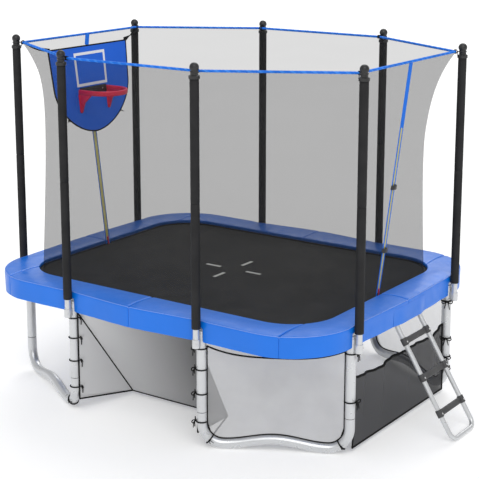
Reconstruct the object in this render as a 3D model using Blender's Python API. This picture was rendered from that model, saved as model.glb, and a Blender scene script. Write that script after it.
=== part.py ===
"""Rectangular garden trampoline with safety enclosure, ball hoop, ladder and goal net.

Metres, +Z up. Everything is laid out around the middle of the jumping mat: X runs
lengthwise, towards the ladder, and Y across, away from the goal. At the end the
whole trampoline is shifted so that its outline is centred over the origin.
"""
import math

import bmesh
import bpy
from mathutils import Matrix, Vector

# ---------------------------------------------------------------- driving dimensions
GAP = 0.0003               # working gap between pieces that touch
SEAM_GAP = 0.0006          # gap between two neighbouring pads

# Top frame: a rounded rectangle of steel tube, sizes to the tube's centreline
FRAME_HALF_LENGTH = 1.488
FRAME_HALF_WIDTH = 1.208
FRAME_CORNER_RADIUS = 0.46
RAIL_HEIGHT = 0.868
RAIL_RADIUS = 0.021

# Legs: eight posts, each pair joined at the ground by a bent foot tube
LEG_ALONG_LONG_SIDE = 0.585
LEG_ALONG_SHORT_SIDE = 0.721
POST_RADIUS = 0.036
POST_WALL = 0.003
POST_HEAD_ROOM = 0.006     # between the top of a post and the underside of the rail
STUB_LENGTH = 0.06         # of the rail's welded stub inside a post
FOOT_JOINT_HEIGHT = 0.265
JOINT_GROOVE_DEPTH = 0.0015
FOOT_BEND_RADIUS = 0.15
FOOT_HUMP = 0.045          # rise of the foot tube between its two feet

# Enclosure poles, foam sleeves and caps
POLE_RADIUS = 0.0228
POLE_CLEARANCE = 0.0003
POLE_SEAT = 0.0905          # from the top of a post down to the foot of a pole
POLE_TOP = 2.600
SLEEVE_RADIUS = 0.032
SLEEVE_RISE = 0.016        # from the rail's centre up to the foot of a sleeve
SOCKET_WALL = 0.005
SOCKET_HEIGHT = 0.062
CAP_COLLAR_RADIUS = 0.0375
CAP_COLLAR_HEIGHT = 0.022
CAP_NECK_RADIUS = 0.026
CAP_NECK_HEIGHT = 0.036
CAP_BALL_RADIUS = 0.032

# Jumping mat, its rings and springs
MAT_RISE = 0.040           # from the rail's centre up to the top of the mat's hem
MAT_THICKNESS = 0.003      # at the sewn hem
HEM_WIDTH = 0.070
HEM_RISE = 0.001           # of the hem above the bed of the mat
HEM_INNER_CORNER = 0.33    # the hem is wider round the corners
HEM_EDGE = 0.002           # width of the hem's sloping inner edge
SPRING_ROOM = 0.173        # from the edge of the mat to the rail's centreline
HEM_CORD_RADIUS = 0.0025   # cord that the springs hook on, round the mat
SPRING_RADIUS = 0.011
SPRING_PITCH = 0.19
SPRING_HOLE_ANGLE = 40.0   # degrees up the inner side of the rail
SPRINGS_PER_CORNER = 3

# Safety pads over the springs, with a hanging skirt
PAD_PAST_RAIL_AT_END = 0.033    # from the rail's centreline out to the pad's edge
PAD_PAST_RAIL_AT_SIDE = 0.040
PAD_OUTER_CORNER = 0.48
PAD_OVER_MAT_AT_END = 0.008     # from the mat's edge in to the pad's inner edge
PAD_OVER_MAT_AT_SIDE = 0.030
PAD_INNER_CORNER = 0.35
PAD_LIFT = 0.0035          # of the pads' underside above the mat, on the springs
PAD_THICKNESS = 0.0285
PAD_CROWN = 0.007
PAD_SHOULDER_DROP = 0.014  # from the top of the pad to the crease above the skirt
PAD_BULGE_LONG_SIDE = 0.038
PAD_BULGE_SHORT_SIDE = 0.017
PAD_SEAM_SET_BACK = 0.087  # from the end pad's inner edge to its seam with the side pads
POLE_DENT_REACH = 0.10
SKIRT_DROP = 0.1265        # below the pads' underside
SKIRT_THICKNESS = 0.006
SKIRT_SLOT_HALF_WIDTH = 0.040
SKIRT_SLOT_DROP = 0.0255   # from the pads' underside down to the top of a slot
FLAP_HALF_WIDTH = 0.24     # of the skirt's loose flap above the ladder
FLAP_FLARE = 0.012         # how far the ladder holds the flap's lower edge out

# Enclosure net, its top band and the two zip doors
NET_THICKNESS = 0.0015
NET_TO_PAD_AT_END = 0.0265      # from the pads' inner edge in to the foot of the net
NET_TO_PAD_AT_SIDE = 0.025
NET_BOTTOM_CORNER = 0.33
NET_FOOT_GAP = 0.0005
NET_PINCH = 0.20           # how fast the net's corners draw in below the band
BAND_RISE = 0.047          # above the top of the poles
BAND_RADIUS = 0.010
BAND_INSET = 0.045         # from the pole's centre to the band
TIE_BAR = 0.006            # eye on a cap's neck that holds the band
ZIP_WIDTH = 0.05
ZIP_THICKNESS = 0.002
ZIP_BOTTOM = 0.945
RIGHT_ZIP_TOP = 2.150
LEFT_ZIP_TOP = 1.830
SLIDER_WIDTH = 0.018
SLIDER_HEIGHT = 0.030
SLIDER_THICKNESS = 0.006
SLIDER_PULL_LENGTH = 0.034
BUCKLE_HEIGHTS = (1.271, 1.744)
BUCKLE_WIDTH = 0.044
BUCKLE_BODY_HEIGHT = 0.030
BUCKLE_BODY_THICKNESS = 0.008
BUCKLE_STAND_OFF = 0.011   # room for the zip slider to pass underneath

# Ball board and hoop, on the inside of the net
BOARD_DROP = 0.087         # from the band down to the board's top edge
BOARD_SET_IN = 0.0535      # from the band's line in to the board's top edge
BOARD_NET_MARGIN = 0.12    # the net keeps behind the board this far below it
BOARD_LEAN = 0.1168        # run per metre of drop
BOARD_TOP_HALF_WIDTH = 0.474
BOARD_SIDE_HALF_WIDTH = 0.455
BOARD_SIDE_LENGTH = 0.31
BOARD_ROUND_LENGTH = 0.38
BOARD_ROUND_POWER = 1.5
BOARD_THICKNESS = 0.006
HOOP_DROP = 0.360          # from the board's top edge down to the hoop
HOOP_RADIUS = 0.170
HOOP_ARM_LENGTH = 0.130
HOOP_BAND_HEIGHT = 0.040
HOOP_BAND_THICKNESS = 0.022
GUSSET_DEPTH = 0.150
GUSSET_THICKNESS = 0.012
HOOP_PLATE_HEIGHT = 0.060
HOOP_PLATE_THICKNESS = 0.008
STRAP_THICKNESS = 0.003
STRAP_WIDTH = 0.040
STRAP_MIDDLE = 0.025       # along Y

# Ladder, hooked over the rail of the right end
LADDER_MIDDLE = 0.030      # along Y
LADDER_HALF_WIDTH = 0.170  # to the centre of a side tube
LADDER_TUBE_RADIUS = 0.0175
LADDER_ANGLE = 31.7        # degrees from upright
LADDER_SET_BACK = 0.0197   # of the tubes behind the rail's centre
LADDER_CORNER_RADIUS = 0.060
LADDER_TUBE_START = 0.034  # below the rail's centre, along the ladder
HOOK_THICKNESS = 0.004
HOOK_WIDTH = 0.030
HOOK_START_ANGLE = 50.0
HOOK_END_ANGLE = 225.0
HOOK_TAIL = 0.048
STEP_HEIGHTS = (0.668, 0.428, 0.193)
STEP_SLEEVE_LENGTH = 0.054
STEP_SLEEVE_WALL = 0.005
TREAD_DEPTH = 0.044
TREAD_THICKNESS = 0.016

# Nets below the frame
LOWER_NET_TOP = 0.775
CORNER_NET_TOP = 0.745     # at the posts
CORNER_NET_SAG = 0.075     # of its top edge, so that the mat's corner can come down
LOWER_NET_THICKNESS = 0.002
NET_POST_EDGE = 0.0372     # from a post's centre to the edge of a net
GOAL_BACK_Y = -0.710
GOAL_BACK_HALF_WIDTH = 0.447
GOAL_BACK_HEIGHT = 0.030
GOAL_SIDE_FOOT = 0.100
BACK_NET_BOTTOM = 0.106
END_NET_TOP = 0.550
END_NET_BOTTOM = 0.030
END_NET_FOLD = 0.014
END_NET_FOLD_COUNT = 5
TIE_CORD = 0.0025
TIE_RADIUS = 0.0377        # of a tie round a post, to the middle of its cord
TIE_OPENING = 60.0         # degrees left free for the net on the post's other side
GOAL_TIE_HEIGHTS = (0.715, 0.577, 0.400, 0.215)
CORNER_TIE_HEIGHTS = (0.660, 0.345)
END_TIE_HEIGHTS = (0.440, 0.290, 0.205)
BACK_TIE_HEIGHTS = (0.715, 0.240)

# Fasteners
BOLT_RADIUS = 0.007
BOLT_HEAD = 0.0045
LEG_SCREW_HEIGHT = 0.310
POLE_BOLT_HEIGHT = 0.782

# Facets
TUBE_SIDES = 10
POST_SIDES = 10

# ---------------------------------------------------------------- derived places
POLE_OFFSET = POST_RADIUS + POLE_RADIUS + POLE_CLEARANCE + 0.0014
POLE_X = FRAME_HALF_LENGTH + POLE_OFFSET
POLE_Y = FRAME_HALF_WIDTH + POLE_OFFSET
POST_TOP = RAIL_HEIGHT - RAIL_RADIUS - POST_HEAD_ROOM
POLE_BOTTOM = POST_TOP - POLE_SEAT
SLEEVE_BOTTOM = RAIL_HEIGHT + SLEEVE_RISE
BAND_HEIGHT = POLE_TOP + BAND_RISE
MAT_TOP = RAIL_HEIGHT + MAT_RISE
MAT_HALF_LENGTH = FRAME_HALF_LENGTH - SPRING_ROOM
MAT_HALF_WIDTH = FRAME_HALF_WIDTH - SPRING_ROOM
MAT_CORNER = FRAME_CORNER_RADIUS - SPRING_ROOM
PAD_OUTER_HALF_LENGTH = FRAME_HALF_LENGTH + PAD_PAST_RAIL_AT_END
PAD_OUTER_HALF_WIDTH = FRAME_HALF_WIDTH + PAD_PAST_RAIL_AT_SIDE
PAD_INNER_HALF_LENGTH = MAT_HALF_LENGTH - PAD_OVER_MAT_AT_END
PAD_INNER_HALF_WIDTH = MAT_HALF_WIDTH - PAD_OVER_MAT_AT_SIDE
PAD_UNDERSIDE = MAT_TOP + PAD_LIFT
PAD_TOP = PAD_UNDERSIDE + PAD_THICKNESS
PAD_SEAM_ALONG = PAD_INNER_HALF_LENGTH - PAD_SEAM_SET_BACK
SKIRT_BOTTOM = PAD_UNDERSIDE - SKIRT_DROP
SKIRT_SLOT_TOP = PAD_UNDERSIDE - SKIRT_SLOT_DROP
NET_BOTTOM_HALF_LENGTH = PAD_INNER_HALF_LENGTH - NET_TO_PAD_AT_END
NET_BOTTOM_HALF_WIDTH = PAD_INNER_HALF_WIDTH - NET_TO_PAD_AT_SIDE
LADDER_BORE = (LADDER_TUBE_RADIUS + GAP) / math.cos(math.pi / POST_SIDES)
NET_BOTTOM = MAT_TOP + NET_FOOT_GAP
NET_TOP = BAND_HEIGHT - BAND_RADIUS * math.cos(math.pi / 6) - NET_FOOT_GAP
NET_TOP_X = POLE_X - BAND_INSET
NET_TOP_Y = POLE_Y - BAND_INSET
ZIP_SLOPE = (NET_TOP_X - NET_BOTTOM_HALF_LENGTH) / (NET_TOP - NET_BOTTOM)
BOARD_TOP = BAND_HEIGHT - BOARD_DROP
BOARD_TOP_X = BOARD_SET_IN - NET_TOP_X
HOOP_HEIGHT = BOARD_TOP - HOOP_DROP

# Pole and leg places, anticlockwise from the front long side, with outward directions
LEGS = [
    (-LEG_ALONG_LONG_SIDE, -FRAME_HALF_WIDTH, (0, -1)),
    (LEG_ALONG_LONG_SIDE, -FRAME_HALF_WIDTH, (0, -1)),
    (FRAME_HALF_LENGTH, -LEG_ALONG_SHORT_SIDE, (1, 0)),
    (FRAME_HALF_LENGTH, LEG_ALONG_SHORT_SIDE, (1, 0)),
    (LEG_ALONG_LONG_SIDE, FRAME_HALF_WIDTH, (0, 1)),
    (-LEG_ALONG_LONG_SIDE, FRAME_HALF_WIDTH, (0, 1)),
    (-FRAME_HALF_LENGTH, LEG_ALONG_SHORT_SIDE, (-1, 0)),
    (-FRAME_HALF_LENGTH, -LEG_ALONG_SHORT_SIDE, (-1, 0)),
]
POLES = [(x + POLE_OFFSET * out[0], y + POLE_OFFSET * out[1], out) for x, y, out in LEGS]

# Corners in the same order, with the signs of their X and Y. A foot tube joins the
# two legs beside each corner, so the pairs start with the second leg.
CORNER_SIGNS = {
    "front_right": (1, -1),
    "back_right": (1, 1),
    "back_left": (-1, 1),
    "front_left": (-1, -1),
}
FOOT_PAIRS = {name: (2 * i + 1, (2 * i + 2) % len(LEGS)) for i, name in enumerate(CORNER_SIGNS)}

# Colour, roughness and metallic value of each finish
FINISHES = {
    "galvanised": ((0.72, 0.73, 0.74), 0.28, 0.9),
    "black_foam": ((0.030, 0.030, 0.032), 0.75, 0.0),
    "black_plastic": ((0.020, 0.020, 0.022), 0.45, 0.0),
    "blue_vinyl": ((0.035, 0.185, 0.78), 0.42, 0.0),
    "black_mat": ((0.030, 0.030, 0.030), 0.80, 0.0),
    "zinc_wire": ((0.62, 0.62, 0.60), 0.35, 0.9),
    "net_mesh": ((0.10, 0.10, 0.10), 0.85, 0.0),
    "pale_net": ((0.45, 0.45, 0.46), 0.85, 0.0),
    "dark_net": ((0.09, 0.09, 0.09), 0.85, 0.0),
    "blue_webbing": ((0.030, 0.190, 0.72), 0.60, 0.0),
    "red_plastic": ((0.70, 0.030, 0.080), 0.45, 0.0),
    "black_webbing": ((0.018, 0.018, 0.018), 0.70, 0.0),
    "grey_plastic": ((0.060, 0.060, 0.062), 0.50, 0.0),
}


# ---------------------------------------------------------------- building tools
def clear_scene():
    for item in list(bpy.data.objects):
        bpy.data.objects.remove(item, do_unlink=True)


def finish_material(name):
    """The named finish, made once."""
    known = bpy.data.materials.get(name)
    if known:
        return known
    colour, roughness, metallic = FINISHES[name]
    made = bpy.data.materials.new(name)
    made.use_nodes = True
    shader = made.node_tree.nodes["Principled BSDF"]
    shader.inputs["Base Color"].default_value = (*colour, 1.0)
    shader.inputs["Roughness"].default_value = roughness
    shader.inputs["Metallic"].default_value = metallic
    return made


def empty(name, place, parent=None):
    made = bpy.data.objects.new(name, None)
    made.location = place
    made.parent = parent
    bpy.context.scene.collection.objects.link(made)
    return made


def piece(name, shape, finish, parent, smooth=True):
    """Close a bmesh into a named object. The shape is in trampoline coordinates."""
    bmesh.ops.recalc_face_normals(shape, faces=shape.faces)
    mesh = bpy.data.meshes.new(name)
    shape.to_mesh(mesh)
    shape.free()
    if smooth:
        mesh.shade_smooth()
        mesh.set_sharp_from_angle(angle=math.radians(40))
    made = bpy.data.objects.new(name, mesh)
    made.data.materials.append(finish_material(finish))
    bpy.context.scene.collection.objects.link(made)
    made.parent = parent
    if parent.parent:
        mesh.transform(Matrix.Translation(-parent.location))
    return made


def loft(shape, rings, closed=False):
    """Skin a row of rings that have the same number of points each."""
    rows = [[shape.verts.new(point) for point in ring] for ring in rings]
    count = len(rows[0])
    pairs = list(zip(rows, rows[1:]))
    if closed:
        pairs.append((rows[-1], rows[0]))
    for low, high in pairs:
        for i in range(count):
            j = (i + 1) % count
            shape.faces.new((low[i], low[j], high[j], high[i]))
    if not closed:
        shape.faces.new(list(reversed(rows[0])))
        shape.faces.new(rows[-1])


def lathe(shape, profile, sides, place=Matrix(), hollow=False):
    """Turn (radius, height) points round Z. A hollow profile is a closed loop; any
    other starts and ends on the axis."""
    turn = math.pi / sides
    rows = []
    for radius, height in profile:
        if radius == 0.0:
            rows.append([shape.verts.new(place @ Vector((0, 0, height)))])
            continue
        ring = []
        for i in range(sides):
            angle = turn * (2 * i + 1)
            point = Vector((radius * math.cos(angle), radius * math.sin(angle), height))
            ring.append(shape.verts.new(place @ point))
        rows.append(ring)
    pairs = list(zip(rows, rows[1:]))
    if hollow:
        pairs.append((rows[-1], rows[0]))
    for low, high in pairs:
        for i in range(sides):
            j = (i + 1) % sides
            if len(low) == 1:
                shape.faces.new((low[0], high[j], high[i]))
            elif len(high) == 1:
                shape.faces.new((low[i], low[j], high[0]))
            else:
                shape.faces.new((low[i], low[j], high[j], high[i]))


def round_section(radius, sides):
    """Points of a round bar: (in the plane of the path, across the plane)."""
    step = 2 * math.pi / sides
    return [(radius * math.cos(step * i), radius * math.sin(step * i)) for i in range(sides)]


def bar_section(in_plane, across):
    half_in, half_across = in_plane / 2, across / 2
    return [(half_in, half_across), (-half_in, half_across),
            (-half_in, -half_across), (half_in, -half_across)]


def sweep(shape, path, across, sections, closed=False):
    """Carry a section along a path that lies in the plane square to `across`.
    `sections` is one section, or one for each point of the path."""
    path = [Vector(point) for point in path]
    across = Vector(across).normalized()
    count = len(path)
    if isinstance(sections[0][0], (int, float)):
        sections = [sections] * count
    rings = []
    for i, point in enumerate(path):
        before = path[i - 1] if (i or closed) else None
        after = path[(i + 1) % count] if (i < count - 1 or closed) else None
        incoming = (point - before).normalized() if before is not None else None
        outgoing = (after - point).normalized() if after is not None else None
        if incoming is None:
            incoming = outgoing
        if outgoing is None:
            outgoing = incoming
        tangent = (incoming + outgoing).normalized()
        stretch = 1.0 / max(tangent.dot(incoming), 0.3)
        normal = across.cross(tangent)
        rings.append([point + normal * (a * stretch) + across * b for a, b in sections[i]])
    loft(shape, rings, closed)


def prism(shape, outline, depth, place):
    """A flat plate: the outline in its own X and Y, thickened along its Z."""
    low = [place @ Vector((x, y, -depth / 2)) for x, y in outline]
    high = [place @ Vector((x, y, depth / 2)) for x, y in outline]
    loft(shape, [low, high])


def block(shape, centre, size):
    """A box with its sides along the axes."""
    x, y = size[0] / 2, size[1] / 2
    prism(shape, [(-x, -y), (x, -y), (x, y), (-x, y)], size[2], Matrix.Translation(centre))


def arc(centre, radius, start, end, steps):
    """Points of an arc in the plane, angles in degrees."""
    points = []
    for i in range(steps + 1):
        angle = math.radians(start + (end - start) * i / steps)
        points.append((centre[0] + radius * math.cos(angle),
                       centre[1] + radius * math.sin(angle)))
    return points


def combine(target, tool, operation):
    """Join a tool solid to the target, or cut it out, and drop the tool."""
    cut = target.modifiers.new(operation.lower(), "BOOLEAN")
    cut.operation = operation
    cut.object = tool
    depsgraph = bpy.context.evaluated_depsgraph_get()
    result = bpy.data.meshes.new_from_object(target.evaluated_get(depsgraph))
    target.modifiers.clear()
    old = target.data
    target.data = result
    bpy.data.meshes.remove(old)
    bpy.data.objects.remove(tool, do_unlink=True)
    target.data.set_sharp_from_angle(angle=math.radians(40))


def facing(x, y, z, out):
    """A frame at a place whose local X points outward."""
    return Matrix.Translation((x, y, z)) @ Matrix.Rotation(math.atan2(out[1], out[0]), 4, "Z")


def swell(along, half_span, height):
    """A smooth rise that is full at the middle and zero at +-half_span."""
    if abs(along) >= half_span:
        return 0.0
    return height * math.cos(math.pi * along / (2 * half_span)) ** 2


# ---------------------------------------------------------------- frame and legs
def rounded_rectangle(half_x, half_y, radius, steps):
    """Outline of a rounded rectangle, anticlockwise from its right side."""
    outline = []
    for turn, (sign_x, sign_y) in enumerate(((1, -1), (1, 1), (-1, 1), (-1, -1))):
        centre = (sign_x * (half_x - radius), sign_y * (half_y - radius))
        outline += arc(centre, radius, 90 * turn - 90, 90 * turn, steps)
    return outline


def top_frame(parent):
    """The rail that carries the springs, with a welded stub for each leg."""
    shape = bmesh.new()
    outline = rounded_rectangle(FRAME_HALF_LENGTH, FRAME_HALF_WIDTH, FRAME_CORNER_RADIUS, 6)
    sweep(shape, [(x, y, RAIL_HEIGHT) for x, y in outline], (0, 0, 1),
          round_section(RAIL_RADIUS, TUBE_SIDES), closed=True)
    rail = piece("top_frame", shape, "galvanised", parent)
    radius = POST_RADIUS - POST_WALL - GAP
    bottom = POST_TOP - STUB_LENGTH
    top = RAIL_HEIGHT - RAIL_RADIUS / 3
    stubs = bmesh.new()
    for x, y, out in LEGS:
        lathe(stubs, [(0.0, bottom), (radius, bottom), (radius, top), (0.0, top)],
              POST_SIDES, facing(x, y, 0, out))
    combine(rail, piece("stub_tool", stubs, "galvanised", parent), "UNION")


def foot_hump(span):
    """Points of the gentle rise between the two bends of a foot tube."""
    start, end = FOOT_BEND_RADIUS, span - FOOT_BEND_RADIUS
    points = []
    for i in range(1, 6):
        share = i / 6
        rise = FOOT_HUMP * (1 - math.cos(2 * math.pi * share)) / 2
        points.append((start + (end - start) * share, POST_RADIUS + rise))
    return points


def foot_bend(span, radius, steps):
    """Quarter turns at both ends, on the bends' own centres."""
    centre = POST_RADIUS + FOOT_BEND_RADIUS
    first = arc((FOOT_BEND_RADIUS, centre), radius, 180, 270, steps)
    return first, [(span - x, z) for x, z in reversed(first)]


def leg_path(span):
    """Centreline of a pair of legs as (distance, height) and radius: down one post,
    along the ground and up the other, with a groove where post and foot are joined."""
    first, last = foot_bend(span, FOOT_BEND_RADIUS, 4)
    joint = FOOT_JOINT_HEIGHT
    narrow = POST_RADIUS - JOINT_GROOVE_DEPTH
    post = [(POST_TOP, POST_RADIUS), (joint + 0.002, POST_RADIUS), (joint + 0.001, narrow),
            (joint - 0.001, narrow), (joint - 0.002, POST_RADIUS)]
    points = [((0.0, z), radius) for z, radius in post]
    points += [(point, POST_RADIUS) for point in first + foot_hump(span) + last]
    points += [((span, z), radius) for z, radius in reversed(post)]
    return points


def bolt_head(shape, place):
    """A hexagon head standing along local X."""
    turned = place @ Matrix.Rotation(math.pi / 2, 4, "Y")
    lathe(shape, [(0.0, -BOLT_HEAD), (BOLT_RADIUS, -BOLT_HEAD), (BOLT_RADIUS, BOLT_HEAD * 0.7),
                  (BOLT_RADIUS * 0.8, BOLT_HEAD), (0.0, BOLT_HEAD)], 6, turned)


def pole_socket(shape, x, y, out):
    """A cup welded to the outside of a post, which holds the foot of a pole."""
    bore = POLE_RADIUS + POLE_CLEARANCE
    outer = bore + SOCKET_WALL
    floor = POLE_BOTTOM - GAP
    bottom = floor - 0.003
    top = bottom + SOCKET_HEIGHT
    lathe(shape, [(0.0, bottom), (outer, bottom), (outer, top), (bore, top),
                  (bore, floor), (0.0, floor)], TUBE_SIDES, facing(x, y, 0, out))
    return outer


def leg_frames(parent):
    """Four pairs of posts, each pair one bent tube round a corner of the trampoline."""
    bore = POST_RADIUS - POST_WALL
    for corner, pair in FOOT_PAIRS.items():
        first, second = (Vector((*LEGS[leg][:2], 0)) for leg in pair)
        along = (second - first).normalized()
        points = leg_path((second - first).length)
        path = [first + along * s + Vector((0, 0, z)) for (s, z), radius in points]
        sections = [round_section(radius, POST_SIDES) for point, radius in points]
        shape = bmesh.new()
        sweep(shape, path, along.cross(Vector((0, 0, 1))), sections)
        legs = piece(f"leg_frame_{corner}", shape, "galvanised", parent)
        bores, cups, heads = bmesh.new(), bmesh.new(), bmesh.new()
        for leg in pair:
            x, y, out = LEGS[leg]
            spot = facing(x, y, 0, out)
            floor = POST_TOP - STUB_LENGTH - 0.01
            lathe(bores, [(0.0, floor), (bore, floor), (bore, POST_TOP + 0.01),
                          (0.0, POST_TOP + 0.01)], POST_SIDES, spot)
            pole_x, pole_y, out = POLES[leg]
            outer = pole_socket(cups, pole_x, pole_y, out)
            bolt_head(heads, facing(pole_x, pole_y, POLE_BOLT_HEIGHT, out)
                      @ Matrix.Rotation(math.pi / 5, 4, "Z")
                      @ Matrix.Translation((outer * math.cos(math.pi / TUBE_SIDES), 0, 0)))
            bolt_head(heads, facing(x, y, LEG_SCREW_HEIGHT, out)
                      @ Matrix.Translation((POST_RADIUS * 0.98, 0, 0)))
        combine(legs, piece("bore_tool", bores, "galvanised", parent), "DIFFERENCE")
        combine(legs, piece("cup_tool", cups, "galvanised", parent), "UNION")
        combine(legs, piece("head_tool", heads, "galvanised", parent), "UNION")


# ---------------------------------------------------------------- enclosure poles
def poles(parent):
    for number, (x, y, out) in enumerate(POLES, start=1):
        shape = bmesh.new()
        lathe(shape, [(0.0, POLE_BOTTOM), (POLE_RADIUS, POLE_BOTTOM), (POLE_RADIUS, POLE_TOP),
                      (0.0, POLE_TOP)], TUBE_SIDES, facing(x, y, 0, out))
        piece(f"enclosure_pole_{number}", shape, "galvanised", parent)


def foam_sleeves(parent):
    bore = POLE_RADIUS + POLE_CLEARANCE
    top = POLE_TOP - GAP
    for number, (x, y, out) in enumerate(POLES, start=1):
        shape = bmesh.new()
        lathe(shape, [(bore, SLEEVE_BOTTOM), (SLEEVE_RADIUS, SLEEVE_BOTTOM),
                      (SLEEVE_RADIUS, top), (bore, top)], TUBE_SIDES, facing(x, y, 0, out), True)
        piece(f"foam_sleeve_{number}", shape, "black_foam", parent)


def cap_profile():
    """Collar, neck with a bead for the band's tie, and ball."""
    bottom = POLE_TOP + GAP
    collar = bottom + CAP_COLLAR_HEIGHT
    neck = collar + CAP_NECK_HEIGHT
    meet = math.asin(CAP_NECK_RADIUS / CAP_BALL_RADIUS)
    centre = neck + CAP_BALL_RADIUS * math.cos(meet)
    bead = CAP_NECK_RADIUS + 0.004
    profile = [(0.0, bottom), (CAP_COLLAR_RADIUS, bottom), (CAP_COLLAR_RADIUS, collar),
               (CAP_NECK_RADIUS, collar + 0.006), (CAP_NECK_RADIUS, BAND_HEIGHT - 0.005),
               (bead, BAND_HEIGHT - 0.002), (bead, BAND_HEIGHT + 0.002),
               (CAP_NECK_RADIUS, BAND_HEIGHT + 0.005), (CAP_NECK_RADIUS, neck)]
    for degrees in (0, 30, 60):
        angle = math.radians(degrees)
        profile.append((CAP_BALL_RADIUS * math.cos(angle),
                        centre + CAP_BALL_RADIUS * math.sin(angle)))
    profile.append((0.0, centre + CAP_BALL_RADIUS))
    return profile


def pole_caps(parent):
    """A ball-topped cap on each pole, with an eye towards the band."""
    for number, ((x, y, out), corner) in enumerate(zip(POLES, band_corners()), start=1):
        shape = bmesh.new()
        lathe(shape, cap_profile(), TUBE_SIDES, facing(x, y, 0, out))
        cap = piece(f"pole_cap_{number}", shape, "black_plastic", parent)
        toward = Vector((corner.x - x, corner.y - y, 0))
        end = toward.length * (1 - BAND_RADIUS / BAND_INSET) - GAP
        toward.normalize()
        middle = Vector((x, y, BAND_HEIGHT))
        eye = bmesh.new()
        sweep(eye, [middle + toward * 0.02, middle + toward * end], (0, 0, 1),
              bar_section(TIE_BAR, TIE_BAR))
        combine(cap, piece("eye_tool", eye, "black_plastic", parent), "UNION")


# ---------------------------------------------------------------- mat and springs
def jumping_mat(parent):
    """The bed, with a thicker hem sewn round it."""
    outer = rounded_rectangle(MAT_HALF_LENGTH, MAT_HALF_WIDTH, MAT_CORNER, 9)
    bed, crest = [rounded_rectangle(MAT_HALF_LENGTH - HEM_WIDTH + edge,
                                    MAT_HALF_WIDTH - HEM_WIDTH + edge,
                                    HEM_INNER_CORNER + edge, 9) for edge in (0.0, HEM_EDGE)]
    shape = bmesh.new()
    loft(shape, [[(x, y, z) for x, y in outline]
                 for outline, z in ((outer, MAT_TOP - MAT_THICKNESS), (outer, MAT_TOP),
                                    (crest, MAT_TOP), (bed, MAT_TOP - HEM_RISE))])
    piece("jumping_mat", shape, "black_mat", parent)


def spring_lines():
    """(point on the edge of the mat, outward direction) for every spring."""
    lines = []
    straight_x = MAT_HALF_LENGTH - MAT_CORNER
    straight_y = MAT_HALF_WIDTH - MAT_CORNER
    for half_run, edge, swap in ((straight_x, MAT_HALF_WIDTH, False),
                                 (straight_y, MAT_HALF_LENGTH, True)):
        count = int(half_run / SPRING_PITCH + 0.5)
        for i in range(count):
            along = SPRING_PITCH * (i + 0.5)
            for sign_along in (-1, 1):
                for side in (-1, 1):
                    if swap:
                        point, out = (side * edge, sign_along * along), (side, 0)
                    else:
                        point, out = (sign_along * along, side * edge), (0, side)
                    lines.append((Vector((*point, 0)), Vector((*out, 0))))
    for sign_x, sign_y in CORNER_SIGNS.values():
        centre = Vector((sign_x * straight_x, sign_y * straight_y, 0))
        for i in range(SPRINGS_PER_CORNER):
            angle = math.pi / 2 * (i + 0.5) / SPRINGS_PER_CORNER
            out = Vector((sign_x * math.cos(angle), sign_y * math.sin(angle), 0))
            lines.append((centre + out * MAT_CORNER, out))
    return lines


def coil_springs(parent):
    """The springs and the hem cord that they hook on. Each runs from the cord, outward
    and down to a hole in the inner side of the rail."""
    offset = HEM_CORD_RADIUS + 3 * GAP
    height = MAT_TOP - MAT_THICKNESS / 2
    outline = rounded_rectangle(MAT_HALF_LENGTH + offset, MAT_HALF_WIDTH + offset,
                                MAT_CORNER + offset, 9)
    cord = bmesh.new()
    sweep(cord, [(x, y, height) for x, y in outline], (0, 0, 1),
          bar_section(2 * HEM_CORD_RADIUS, 2 * HEM_CORD_RADIUS), closed=True)
    hem = piece("coil_springs", cord, "zinc_wire", parent)
    angle = math.radians(SPRING_HOLE_ANGLE)
    reach = SPRING_ROOM - (RAIL_RADIUS + 2 * GAP) * math.cos(angle)
    rail_end = RAIL_HEIGHT + (RAIL_RADIUS + 2 * GAP) * math.sin(angle)
    coils = bmesh.new()
    for edge, out in spring_lines():
        start = edge + out * offset + Vector((0, 0, height))
        end = edge + out * reach + Vector((0, 0, rail_end))
        turn = (end - start).to_track_quat("Z", "Y").to_matrix().to_4x4()
        length = (end - start).length
        lathe(coils, [(0.0, 0.0), (SPRING_RADIUS * 0.18, 0.0), (SPRING_RADIUS, length * 0.25),
                      (SPRING_RADIUS, length * 0.84), (0.0, length)],
              5, Matrix.Translation(start) @ turn)
    combine(hem, piece("coil_tool", coils, "zinc_wire", parent), "UNION")


# ---------------------------------------------------------------- pads
def pad_outer_point(x, y, corner):
    """Outer edge of the pads at a station: straight runs bulge between the poles and
    are pressed in by them. `corner` is the angle in degrees, or None on a straight."""
    dent = PAD_OUTER_HALF_LENGTH - (POLE_X - SLEEVE_RADIUS - 2 * GAP)
    if corner is not None:
        angle = math.radians(corner)
        centre_x = PAD_OUTER_HALF_LENGTH - PAD_OUTER_CORNER
        centre_y = PAD_OUTER_HALF_WIDTH - PAD_OUTER_CORNER
        past_pole = centre_y - LEG_ALONG_SHORT_SIDE + PAD_OUTER_CORNER * angle
        radius = PAD_OUTER_CORNER - swell(past_pole, POLE_DENT_REACH, dent)
        return (centre_x + radius * math.cos(angle), centre_y + radius * math.sin(angle))
    if x is None:
        out = swell(y, LEG_ALONG_SHORT_SIDE, PAD_BULGE_SHORT_SIDE)
        out -= swell(y - LEG_ALONG_SHORT_SIDE, POLE_DENT_REACH, dent)
        return (PAD_OUTER_HALF_LENGTH + out, y)
    dent = PAD_OUTER_HALF_WIDTH - (POLE_Y - SLEEVE_RADIUS - 2 * GAP)
    out = swell(x, LEG_ALONG_LONG_SIDE, PAD_BULGE_LONG_SIDE)
    out -= swell(x - LEG_ALONG_LONG_SIDE, POLE_DENT_REACH, dent)
    return (x, PAD_OUTER_HALF_WIDTH + out)


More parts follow.
